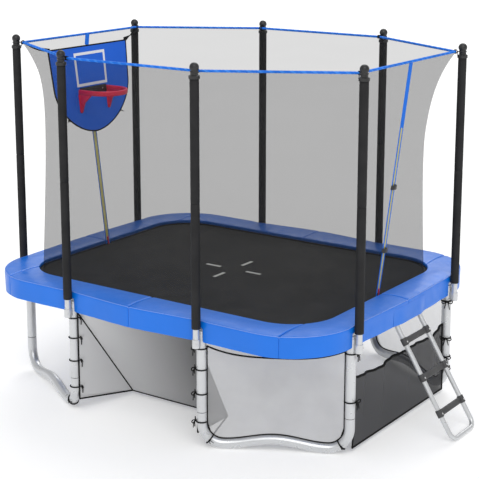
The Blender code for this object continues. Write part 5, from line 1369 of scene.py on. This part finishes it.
def board(settings):
    """Padded shield with piping, a white outline, ties and straps."""
    spot = board_frame()
    outline = board_outline(16)
    half = BOARD_THICKNESS / 2
    shape = Shape()
    middle = Vector((0, -0.28))
    shape.skin([[spot @ Vector((*(middle + (Vector(point) - middle) * part), z))
                 for point in outline]
                for part, z in ((0.55, -half), (0.97, -half), (0.995, -half * 0.6),
                                (0.995, half * 0.6), (0.97, half), (0.55, half))])
    blue = known("board cloth", vinyl, tuple(settings.colour), 0.5)
    made = piece("shield_board", shape, blue, "frame", ["ball_board"], sharp=50)
    trim, piping = Shape(), 0.0062
    path = [spot @ Vector((x, y, 0)) for x, y in outline]
    trim.tube(rounded_path(finer(path, 0.05), 0.01, 2), piping, 8)
    trim.tube([path[0], path[-1]], piping, 8)
    for side in (1, -1):
        knot(trim, spot @ Vector((side * 0.322, -0.575, 0)), (0.04, side * 0.05, -0.03), 0.005)
    cord_piece("board_piping", trim)
    mark = Shape()
    wide, wide_low = 0.177, 0.173
    high, low = ((z - BOARD_TOP) * BOARD_SLANT for z in (2.50, 2.25))
    w = settings.outline_width / 2
    outer = [(-wide - w, high + w), (wide + w, high + w), (wide_low + w, low - w),
             (-wide_low - w, low - w)]
    inner = [(-wide + w, high - w), (wide - w, high - w), (wide_low - w, low + w),
             (-wide_low + w, low + w)]
    low, high = half + 0.0001, half + 0.0009
    mark.skin([[spot @ Vector((*point, z)) for point in loop]
               for loop, z in ((outer, low), (outer, high), (inner, high), (inner, low))],
              closed=True)
    white = known("white tape", cloth, srgb(248, 250, 255), 900, 0.6, tone=0.05)
    piece("board_outline_tape", mark, white, "frame", (), smooth=False)
    straps(spot)


def knot(shape, at, toward, wire):
    """A small knot with two short ends."""
    toward = Vector(toward)
    shape.tube([at - toward * 0.06, at, at + toward * 0.06], [wire, wire * 2.1, wire], 8)
    for lean in (-0.35, 0.35):
        side = Vector((-toward.y, toward.x, 0)) * lean
        tip = at + (toward + side) * 0.34
        shape.tube(flowing([at, at + toward * 0.15 + side * 0.2, tip], 3), wire * 0.6,
                   CORD_SIDES)


def ribbon(shape, path, width, thickness, faces):
    """A strap along a path; `faces` gives the direction across it at each point."""
    rings = []
    for i, (point, across) in enumerate(zip(path, faces)):
        before, after = path[max(i - 1, 0)], path[min(i + 1, len(path) - 1)]
        way = (after - before).normalized()
        across = (across - way * across.dot(way)).normalized() * (width / 2)
        up = way.cross(across).normalized() * (thickness / 2)
        rings.append([point - across - up, point + across - up, point + across + up,
                      point - across + up])
    shape.skin(rings)


def straps(spot):
    """Webbing along the board's top, up to the band in the middle and out to the poles."""
    half, tall = BOARD_TOP_HALF, 0.0042
    shape = Shape()
    shape.plate([(-half, GAP), (half, GAP), (half, tall), (-half, tall)], BOARD_THICKNESS, spot)
    foot = BOARD_TOP + GAP + 0.0021
    corners, parts = band_corners(), 14
    for index, side, width, twist in ((6, 1, 0.044, 1.9), (7, -1, 0.028, 0.6)):
        corner = corners[index]
        start = Vector((BOARD_TOP_X, side * (half - 0.02), foot))
        end = Vector((corner.x + BAND_RADIUS * 1.6, corner.y - side * 0.020,
                      BAND_HEIGHT - 0.012))
        path = [start.lerp(end, i / parts) - UP * (0.012 * math.sin(math.pi * i / parts))
                for i in range(parts + 1)]
        across = [Matrix.Rotation(twist * i / parts, 3, end - start) @ UP
                  for i in range(parts + 1)]
        ribbon(shape, path, width, 0.0022, across)
    piece("board_straps_webbing", shape, black_cord(), "frame", ["board_straps"],
          smooth=False)
    riser = Shape()
    top = Vector((-NET_TOP_X + BAND_RADIUS + GAP + 0.0016, 0.045, BAND_HEIGHT + 0.002))
    start = Vector((BOARD_TOP_X, -0.015, foot))
    parts = 8
    ribbon(riser, [start.lerp(top, i / parts) for i in range(parts + 1)], 0.040, 0.003,
           [Vector((0, 1, 0))] * (parts + 1))
    tape = known("blue tape", cloth, srgb(34, 100, 204), 1100)
    piece("board_riser_strap", riser, tape, "frame", (), smooth=False)


def front_face(z):
    """X just in front of the board's face at a height."""
    return BOARD_TOP_X + (BOARD_TOP - z) * BOARD_LEAN + BOARD_THICKNESS / 2 + 2 * GAP


def hoop(settings):
    """Open ring on two arms with a gusset below each, and the plate between them."""
    shape = Shape()
    root = front_face(HOOP_HEIGHT - HOOP_BAND / 2)
    centre = root + HOOP_ARM
    ring = [(root, -HOOP_RADIUS), (root + HOOP_ARM * 0.5, -HOOP_RADIUS),
            *arc((centre, 0), HOOP_RADIUS, -90, 90, 36),
            (root + HOOP_ARM * 0.5, HOOP_RADIUS), (root, HOOP_RADIUS)]
    half_t, half_h = HOOP_WALL / 2, HOOP_BAND / 2
    section = []
    for angle in around(20):
        c, s = math.cos(angle), math.sin(angle)
        section.append((half_t * math.copysign(abs(c) ** HOOP_FULLNESS, c),
                        half_h * math.copysign(abs(s) ** HOOP_FULLNESS, s)))
    shape.bar([(x, y, HOOP_HEIGHT) for x, y in ring], UP, section)
    red = known("crimson plastic", plastic, tuple(settings.hoop_colour), 0.38)
    bottom = HOOP_HEIGHT - half_h
    tip = bottom - GUSSET_DEPTH
    face = front_face(bottom)
    for side in (-1, 1):
        line = [(face, bottom + half_h * 0.5), (front_face(tip + 0.01), tip + 0.01),
                (front_face(tip) + 0.004, tip), (front_face(tip) + 0.012, tip + 0.003),
                (face + HOOP_ARM * 0.45, bottom - GUSSET_DEPTH * 0.42),
                (face + HOOP_ARM, bottom), (face + HOOP_ARM, bottom + half_h * 0.5)]
        upright = (moved((0, side * HOOP_RADIUS, 0))
                   @ Matrix.Rotation(math.pi / 2, 4, "X"))
        shape.plate(line, GUSSET_THICKNESS, upright)
        shape.plate([(face, bottom), (front_face(tip) + 0.001, tip + 0.006),
                     (front_face(tip) + 0.005, tip + 0.006), (face + 0.005, bottom)],
                    0.030, upright)
    piece("open_hoop", shape, red, "frame", ["ball_hoop"], bevel=0.0012)
    plate = Shape()
    half = HOOP_RADIUS - HOOP_WALL / 2 - GAP * 2
    middle = (HOOP_HEIGHT - BOARD_TOP) * BOARD_SLANT
    thick = 0.008
    lift = BOARD_THICKNESS / 2 + GAP + thick / 2
    low, high = middle - HOOP_PLATE / 2, middle + HOOP_PLATE / 2
    plate.plate([(-half, low), (half, low), (half, high), (-half, high)], thick,
                board_frame() @ moved((0, 0, lift)))
    for x in (-0.11, 0.11):
        place = board_frame() @ moved((x, middle, lift + 0.003))
        screw_head(plate, place @ Matrix.Rotation(-math.pi / 2, 4, "Y"), 0.006, 0.003, 1)
    piece("hoop_back_plate", plate, [black_plastic(), screw_steel()], "frame", ["hoop_plate"],
          bevel=0.0015)


# ---------------------------------------------------------------- ladder
def ladder_axes():
    """Frame on the hinge line: local X along Y, Y down the ladder, Z outward."""
    angle = math.radians(LADDER_ANGLE)
    down = Vector((math.sin(angle), 0, -math.cos(angle)))
    out = Vector((math.cos(angle), 0, math.sin(angle)))
    return frame_of((FRAME_HALF_LENGTH, LADDER_Y, RAIL_HEIGHT), down.cross(out), down, out)


def ladder():
    """Bent side tube with hooks, and three moulded steps."""
    place = ladder_axes()
    angle = math.radians(LADDER_ANGLE)
    long = (RAIL_HEIGHT - LADDER_BACK * math.sin(angle) - LADDER_TUBE) / math.cos(angle)
    half, radius = LADDER_HALF, LADDER_CORNER
    outline = [(-half, LADDER_START)]
    outline += arc((-half + radius, long - radius), radius, 180, 90, 12)
    outline += arc((half - radius, long - radius), radius, 90, 0, 12)
    outline.append((half, LADDER_START))
    shape = Shape()
    shape.tube([place @ Vector((x, y, -LADDER_BACK)) for x, y in outline], LADDER_TUBE, 24)
    inner = RAIL_RADIUS + GAP
    bend = inner + 0.002
    start, end = math.radians(50), math.radians(225)
    shank, thin, wide, parts = 0.048, 0.002, 0.015, 24
    hook = [(math.cos(start) * bend + math.sin(start) * shank,
             math.sin(start) * bend - math.cos(start) * shank)]
    for i in range(parts + 1):
        turn = start + (end - start) * i / parts
        hook.append((bend * math.cos(turn), bend * math.sin(turn)))
    for side in (-1, 1):
        shape.bar([place @ Vector((side * half, down, out)) for down, out in hook], (0, 1, 0),
                  [(thin, wide), (-thin, wide), (-thin, -wide), (thin, -wide)])
    piece("ladder_tube", shape, galvanised(), "ladder", ["ladder_tubes"])
    grey = known("grey plastic", plastic, (0.045, 0.045, 0.047), 0.5)
    bore = (LADDER_TUBE + GAP) / math.cos(math.pi / 10)
    outer, tall = bore + 0.005, 0.054
    reach = half - bore - 0.002
    # Round the tread, with ribs on its top
    section = [(-0.022, 0.007), (-0.022, -0.007), (-0.020, -0.008), (0.020, -0.008),
               (0.022, -0.007), (0.022, 0.007), (0.020, 0.0085)]
    section += [(0.016 - 0.004 * k, 0.0095 if k % 2 else 0.0118) for k in range(9)]
    section.append((-0.020, 0.0085))
    clasp = [(bore, 0.0), (outer - 0.0015, 0.0), (outer, 0.0015), (outer, tall - 0.0015),
             (outer - 0.0015, tall), (bore, tall)]
    screw = [(0.0, outer - 0.003), (0.007, outer - 0.003), (0.007, outer + 0.0012),
             (0.005, outer + 0.00225), (0.0, outer + 0.00225)]
    turn = Matrix.Rotation(-math.pi / 2, 4, "X")
    for number, height in enumerate(STEP_HEIGHTS, start=1):
        down = (RAIL_HEIGHT - LADDER_BACK * math.sin(angle) - height) / math.cos(angle)
        spot = place @ moved((0, down, -LADDER_BACK))
        step = Shape()
        step.bar([spot @ Vector((x, 0, 0)) for x in (-reach, reach)], spot.to_3x3() @ UP,
                 section)
        for side in (-1, 1):
            end = spot @ moved((side * half, -tall / 2, 0))
            step.turned(clasp, POST_SIDES, end @ turn, hollow=True)
            step.turned(screw, 12, end @ moved((0, 0.0335, 0)), 1)
        piece(f"step_{number}", step, [grey, screw_steel()], "ladder",
              [f"ladder_step_{number}"], bevel=0.0008)


# ---------------------------------------------------------------- nets below the frame
def tie(shape, leg, height, turn, seed):
    """A cord round a post with a bow and two hanging ends, towards `turn` degrees."""
    x, y, _ = LEGS[leg]
    shape.tube([(x + TIE_RADIUS * math.cos(angle), y + TIE_RADIUS * math.sin(angle), height)
                for angle in around(TIE_STEPS)], TIE_CORD, CORD_SIDES, closed=True)
    angle = math.radians(turn)
    way = Vector((math.cos(angle), math.sin(angle), 0))
    side = Vector((-way.y, way.x, 0))
    at = Vector((x, y, height)) + way * (TIE_RADIUS + 0.003)
    end, middle = 0.0038, 0.0086
    shape.tube([at - side * 0.008, at, at + side * 0.008], [end, middle, end], 8)

    def beside(across, out, up):
        return at + side * k * across + way * out + UP * up

    for k in (-1, 1):
        lift = 0.012 + 0.006 * wave(seed, k, 0, 0.7)
        bow = [at, beside(0.021, 0.012, lift), beside(0.040, 0.018, lift * 0.6),
               beside(0.030, 0.014, -0.010), at]
        shape.tube(flowing(bow, 4), 0.0040, CORD_SIDES)
        drop = 0.046 + 0.020 * abs(wave(k * 1.7, seed, 0, 0.6))
        tail = [at, beside(0.010, 0.012, -0.010), beside(0.020, 0.014, -drop)]
        shape.tube(flowing(tail, 4), end, CORD_SIDES)


def foot_tie(shape, corner, first):
    """A cord round the bend at one foot of a pair of legs, with a knot, and the middle of
    its ring."""
    start, _, way = post_pair(corner, first)
    bend = math.radians(FOOT_TIE_ANGLE)
    middle = (start + way * (FOOT_BEND * (1 - math.cos(bend)))
              + UP * (POST_RADIUS + FOOT_BEND * (1 - math.sin(bend))))
    inward = (way * math.cos(bend) + UP * math.sin(bend))
    across = way.cross(UP)
    shape.tube([middle + inward * (TIE_RADIUS * math.cos(angle))
                + across * (TIE_RADIUS * math.sin(angle)) for angle in around(TIE_STEPS)],
               TIE_CORD, CORD_SIDES, closed=True)
    at = middle - across * TIE_RADIUS if across.y > 0 else middle + across * TIE_RADIUS
    knot(shape, at, Vector((0.10, -0.05, -0.02)), 0.0040)
    return middle


def shares(parts):
    """Even steps from 0 to 1."""
    return [i / parts for i in range(parts + 1)]


def grid_between(a, b, c, d, columns, rows, sag):
    """Points of a sheet whose corners run a, b along one edge and d, c along the other,
    moved by what `sag` gives at the two shares."""
    a, b, c, d = (Vector(point) for point in (a, b, c, d))
    return [[a.lerp(b, u).lerp(d.lerp(c, u), v) + sag(u, v) for u in shares(columns)]
            for v in shares(rows)]


def edge_cords(piping, rings, high=True):
    """Cords along a sheet's lower edge, its upper edge and its two sides."""
    piping.tube(rings[-1], CORD, CORD_SIDES)
    if high:
        piping.tube(rings[0], CORD, CORD_SIDES)
    for column in (0, -1):
        piping.tube([ring[column] for ring in rings], CORD, CORD_SIDES)


def corner_net(shape, piping, corner):
    """A net between the two posts of a pair, down to their foot tube, and its flat width
    and length."""
    first, second, way = post_pair(corner)
    span = (second - first).length
    tube_top = POST_RADIUS + NET_EDGE
    centre, radius = POST_RADIUS + FOOT_BEND, FOOT_BEND - NET_EDGE
    lines = []
    for part in shares(48):
        s = NET_EDGE + (span - 2 * NET_EDGE) * part
        top = CORNER_NET_TOP - CORNER_NET_SAG * (1 - abs(2 * part - 1) ** 3)
        near = min(s, span - s)
        if near < FOOT_BEND:
            low = centre - math.sqrt(max(radius ** 2 - (FOOT_BEND - near) ** 2, 0.0))
        else:
            along = (s - FOOT_BEND) / (span - 2 * FOOT_BEND)
            low = tube_top + hump_rise(along)
        lines.append((s, top, low))
    across = way.cross(UP)
    rings = [[first + way * s + Vector((0, 0, top + (low - top) * v))
              + across * (0.006 * math.sin(math.pi * v) * wave(s, v, 0, 0.22, 4.4))
              for s, top, low in lines] for v in shares(14)]
    shape.skin(rings, ends=False, rounds=False)
    edge_cords(piping, rings)
    return span - 2 * NET_EDGE, CORNER_NET_TOP - tube_top


def lower_nets(settings):
    """Goal net, corner nets, back net and end net, with their piping and ties."""
    pale = known("pale mesh", netting, tuple(settings.pale_colour), settings.pale_cover)
    goal = known("goal mesh", goal_cloth_painted_shade, tuple(settings.goal_colour), settings.goal_cover)
    dark = known("dark mesh", netting, tuple(settings.dark_colour), settings.dark_cover)
    goal_net(goal, dark)
    shape, piping, ties = Shape(), Shape(), Shape()
    corner_flat = corner_net(shape, piping, "front_right")
    for k, height in enumerate(CORNER_TIES):
        tie(ties, 2, height, 12, k + 11)
    foot_tie(ties, "front_right", False)
    net_of(shape, piping, ties, "front_corner", pale)
    back_net(pale)
    end_net(dark)


def goal_net(goal, dark):
    """The net of the goal, slanting back to the ground; its right side panel takes the dark
    mesh as painted shade.
    """
    front, edge = -FRAME_HALF_WIDTH, LEG_X - NET_EDGE
    shape, piping, ties = Shape(), Shape(), Shape()
    rears = [Vector((side * GOAL_BACK_HALF, GOAL_BACK_Y, GOAL_BACK_Z)) for side in (1, -1)]
    highs = [Vector((side * edge, front, LOWER_NET_TOP)) for side in (-1, 1)]

    def belly(u, v):
        calm = math.sin(math.pi * u) * math.sin(math.pi * v)
        return Vector((0, 0.010, -0.014)) * calm * (1 + 0.5 * wave(u, v, 0, 0.3, 6.0))

    shape.skin(grid_between(*highs, *rears, 40, 24, belly), ends=False, rounds=False)
    parts = 14
    # Finish 1, the dark mesh on the right side panel, is painted shade
    for finish, high, rear in ((0, highs[0], rears[1]), (1, highs[1], rears[0])):
        foot = Vector((high.x, front, GOAL_FOOT))
        rings = [[high.lerp(foot, v).lerp(high.lerp(rear, v), u) for u in shares(parts)]
                 for v in shares(12)[1:]]
        shape.skin(rings, finish, ends=False, rounds=False)
        shape.add([high, *rings[0]], [(0, k + 1, k + 2) for k in range(parts)], finish)
        for ends in ((high, foot), (foot, rear), (high, rear)):
            piping.tube(ends, CORD, CORD_SIDES)
    piping.tube(rears, CORD, CORD_SIDES)
    for k, height in enumerate(GOAL_TIES):
        tie(ties, 0, height, 30, k)
        tie(ties, 1, height, 200, k + len(GOAL_TIES) + 1)
    for corner, rear in zip(("front_right", "front_left"), rears):
        ring = foot_tie(ties, corner, corner == "front_right")
        piping.tube([rear, ring + Vector((0, 0.030, 0.012))], CORD, CORD_SIDES)
    net_of(shape, piping, ties, "goal", [goal, dark])


def back_net(pale):
    """The net along the back with the one in the right back corner."""
    shape, piping, ties = Shape(), Shape(), Shape()
    corner_net(shape, piping, "back_right")
    edge, y = LEG_X - NET_EDGE, FRAME_HALF_WIDTH
    rings = grid_between((-edge, y, LOWER_NET_TOP), (edge, y, LOWER_NET_TOP),
                         (edge, y, BACK_NET_BOTTOM), (-edge, y, BACK_NET_BOTTOM), 40, 14,
                         lambda u, v: Vector((0, 0.004 * wave(u * 4, v, 0, 0.6), 0)))
    shape.skin(rings, ends=False, rounds=False)
    for ring in (rings[0], rings[-1]):
        piping.tube(ring, CORD, CORD_SIDES)
    for leg in (4, 5):
        for k, height in enumerate(BACK_TIES):
            tie(ties, leg, height, 90, k + 20 + leg)
    net_of(shape, piping, ties, "back", pale)


def net_of(shape, piping, ties, name, finish):
    """Make a lower net with its piping and ties."""
    made = piece(f"{name}_mesh", shape, finish, "frame", [f"{name}_net"], closed=False,
                 sharp=80)
    trim = cord_piece(f"{name}_piping", piping)
    cords = cord_piece(f"{name}_ties", ties)


def end_net(dark):
    """The dark net under the right end, gathered into upright folds."""
    shape, piping, ties = Shape(), Shape(), Shape()
    half = LEG_Y - NET_EDGE

    def place(u, v):
        sag = 0.036 * math.sin(math.pi * u) + END_NET_WAVE * math.sin(2 * math.pi * 1.5 * u)
        top = END_NET_TOP - sag
        fold = 0.017 * math.sin(2 * math.pi * 4 * u + 1.1 * math.sin(5 * u) + 0.8 * v)
        fold += 0.006 * math.sin(2 * math.pi * 11 * u + 1.5 * v)
        x = FRAME_HALF_LENGTH + fold * math.sin(math.pi * min(v * 0.75 + 0.25, 1.0))
        return Vector((x, -half + 2 * half * u, top + (END_NET_BOTTOM - top) * v))

    rings = [[place(u, v) for u in shares(110)] for v in shares(22)]
    shape.skin(rings, ends=False, rounds=False)
    piping.tube(rings[0], CORD * 1.5, 8)
    edge_cords(piping, rings, high=False)
    for k, height in enumerate(END_TIES):
        tie(ties, 3, height, 300, k + 31)
    tie(ties, 3, END_TOP_TIE, 300, 37)
    net_of(shape, piping, ties, "end", dark)


# ---------------------------------------------------------------- stage
def floor_finish(glow):
    """White floor that keeps a faint shadow under the legs."""
    made = Finish("studio floor", (0.80, 0.80, 0.80), 0.9, Specular_IOR_Level=0.0)
    put(made.shader, Emission_Color=(*WHITE, 1.0), Emission_Strength=glow)
    made.tint(made.noise(0.6), (0.82, 0.82, 0.82), 0.3, 0.8)
    return made.material


def soft_sun(name, way, strength, spread):
    """An even light from one side, as soft as a window `spread` degrees wide."""
    sun = bpy.data.lights.new(name, "SUN")
    sun.energy, sun.angle = strength, math.radians(spread)
    made = bpy.data.objects.new(name, sun)
    made.rotation_euler = Vector(way).to_track_quat("-Z", "Y").to_euler()
    bpy.context.scene.collection.objects.link(made)


def stage(settings):
    """The white floor, an even sky, two soft lights and the photograph's camera."""
    scene = bpy.context.scene
    floor = Shape()
    corners = [(x * FLOOR_REACH, y * FLOOR_REACH, 0) for x, y in ((-1, -1), (1, -1), (1, 1),
                                                                  (-1, 1))]
    floor.add(corners, [(0, 1, 2, 3)])
    made = piece("studio_floor", floor, floor_finish(settings.floor_glow), None, closed=False)
    made.location.z = -ORIGIN.z - FLOOR_DROP
    world = bpy.data.worlds.new("studio")
    world.use_nodes = True
    put(world.node_tree.nodes["Background"], Color=(*WHITE, 1.0), Strength=settings.sky)
    scene.world = world
    soft_sun("soft key", KEY_WAY, settings.key, 50)
    soft_sun("soft back light", BACK_WAY, settings.back_light, 40)
    scene.view_settings.view_transform = "Standard"
    data = bpy.data.cameras.new("camera")
    data.lens, data.sensor_width, data.shift_y = settings.lens, SENSOR_WIDTH, CAMERA_SHIFT
    data.clip_end = FARTHEST
    camera = bpy.data.objects.new("camera", data)
    camera.location = CAMERA_PLACE + ORIGIN
    camera.rotation_euler = (math.pi / 2 - CAMERA_PITCH, 0, CAMERA_YAW)
    scene.collection.objects.link(camera)
    scene.camera = camera


# ---------------------------------------------------------------- operators and panel
class TRAMPOLINE_OT_stage(bpy.types.Operator):
    """Set the floor, the lights and the camera"""

    bl_idname = "trampoline.stage"
    bl_label = "Stage"

    def execute(self, context):
        stage(context.scene.trampoline_stage)
        return {"FINISHED"}


class TRAMPOLINE_OT_steelwork(bpy.types.Operator):
    """Make the rail and the four bent pairs of legs"""

    bl_idname = "trampoline.steelwork"
    bl_label = "Rail and legs"

    def execute(self, context):
        settings = context.scene.trampoline_steel
        KNOWN["galvanised steel"] = steel("galvanised steel", tuple(settings.colour),
                                          settings.roughness)
        rail()
        legs(settings)
        return {"FINISHED"}


class TRAMPOLINE_OT_poles(bpy.types.Operator):
    """Make the eight poles with their foam sleeves and ball caps"""

    bl_idname = "trampoline.poles"
    bl_label = "Poles"

    def execute(self, context):
        poles(context.scene.trampoline_enclosure)
        return {"FINISHED"}


class TRAMPOLINE_OT_mat(bpy.types.Operator):
    """Make the jumping mat with its rings, and the springs"""

    bl_idname = "trampoline.mat"
    bl_label = "Mat and springs"

    def execute(self, context):
        settings = context.scene.trampoline_mat
        wound = springs(settings)
        bed, marks, rings = mat(settings)
        return {"FINISHED"}


class TRAMPOLINE_OT_pads(bpy.types.Operator):
    """Make the eight safety pads and the flap above the ladder"""

    bl_idname = "trampoline.pads"
    bl_label = "Pads"

    def execute(self, context):
        pads(context.scene.trampoline_pads)
        return {"FINISHED"}


class TRAMPOLINE_OT_net(bpy.types.Operator):
    """Make the enclosure net and its twisted band"""

    bl_idname = "trampoline.net"
    bl_label = "Enclosure net"

    def execute(self, context):
        net(context.scene.trampoline_enclosure)
        return {"FINISHED"}


class TRAMPOLINE_OT_doors(bpy.types.Operator):
    """Make the two zip doors, their pulls and the buckles"""

    bl_idname = "trampoline.doors"
    bl_label = "Zip doors"

    def execute(self, context):
        doors(context.scene.trampoline_enclosure)
        return {"FINISHED"}


class TRAMPOLINE_OT_board(bpy.types.Operator):
    """Make the ball board with its straps, and the hoop"""

    bl_idname = "trampoline.board"
    bl_label = "Board and hoop"

    def execute(self, context):
        board(context.scene.trampoline_board)
        hoop(context.scene.trampoline_board)
        return {"FINISHED"}


class TRAMPOLINE_OT_ladder(bpy.types.Operator):
    """Make the hook-on ladder"""

    bl_idname = "trampoline.ladder"
    bl_label = "Ladder"

    def execute(self, context):
        ladder()
        return {"FINISHED"}


class TRAMPOLINE_OT_lower_nets(bpy.types.Operator):
    """Make the goal net and the other nets below the frame"""

    bl_idname = "trampoline.lower_nets"
    bl_label = "Lower nets"

    def execute(self, context):
        lower_nets(context.scene.trampoline_lower_nets)
        return {"FINISHED"}


STEPS = (TRAMPOLINE_OT_stage, TRAMPOLINE_OT_steelwork, TRAMPOLINE_OT_poles, TRAMPOLINE_OT_mat,
         TRAMPOLINE_OT_pads, TRAMPOLINE_OT_net, TRAMPOLINE_OT_doors, TRAMPOLINE_OT_board,
         TRAMPOLINE_OT_ladder, TRAMPOLINE_OT_lower_nets)


class TRAMPOLINE_PT_panel(bpy.types.Panel):
    """Buttons and settings of the trampoline"""

    bl_idname = "TRAMPOLINE_PT_panel"
    bl_label = "Trampoline"
    bl_space_type = "VIEW_3D"
    bl_region_type = "UI"
    bl_category = "Trampoline"

    def draw(self, context):
        for step in STEPS:
            self.layout.operator(step.bl_idname)
        for name, group in GROUPS.items():
            settings = getattr(context.scene, name)
            box = self.layout.box()
            for key in group.__annotations__:
                box.prop(settings, key)


GROUPS = {
    "trampoline_steel": TrampolineSteel,
    "trampoline_pads": TrampolinePads,
    "trampoline_mat": TrampolineMat,
    "trampoline_enclosure": TrampolineEnclosure,
    "trampoline_board": TrampolineBoard,
    "trampoline_lower_nets": TrampolineLowerNets,
    "trampoline_stage": TrampolineStage,
}
CLASSES = (*GROUPS.values(), *STEPS, TRAMPOLINE_PT_panel)


def register():
    """Add the settings, buttons and panel to Blender."""
    for item in CLASSES:
        bpy.utils.register_class(item)
    for name, group in GROUPS.items():
        setattr(bpy.types.Scene, name, bpy.props.PointerProperty(type=group))


def unregister():
    """Take them away again."""
    for name in GROUPS:
        delattr(bpy.types.Scene, name)
    for item in reversed(CLASSES):
        bpy.utils.unregister_class(item)


def main():
    """Make everything in order."""
    register()
    bpy.ops.trampoline.stage()
    bpy.ops.trampoline.steelwork()
    bpy.ops.trampoline.poles()
    bpy.ops.trampoline.mat()
    bpy.ops.trampoline.pads()
    bpy.ops.trampoline.net()
    bpy.ops.trampoline.doors()
    bpy.ops.trampoline.board()
    bpy.ops.trampoline.ladder()
    bpy.ops.trampoline.lower_nets()


if __name__ == "__main__":
    main()
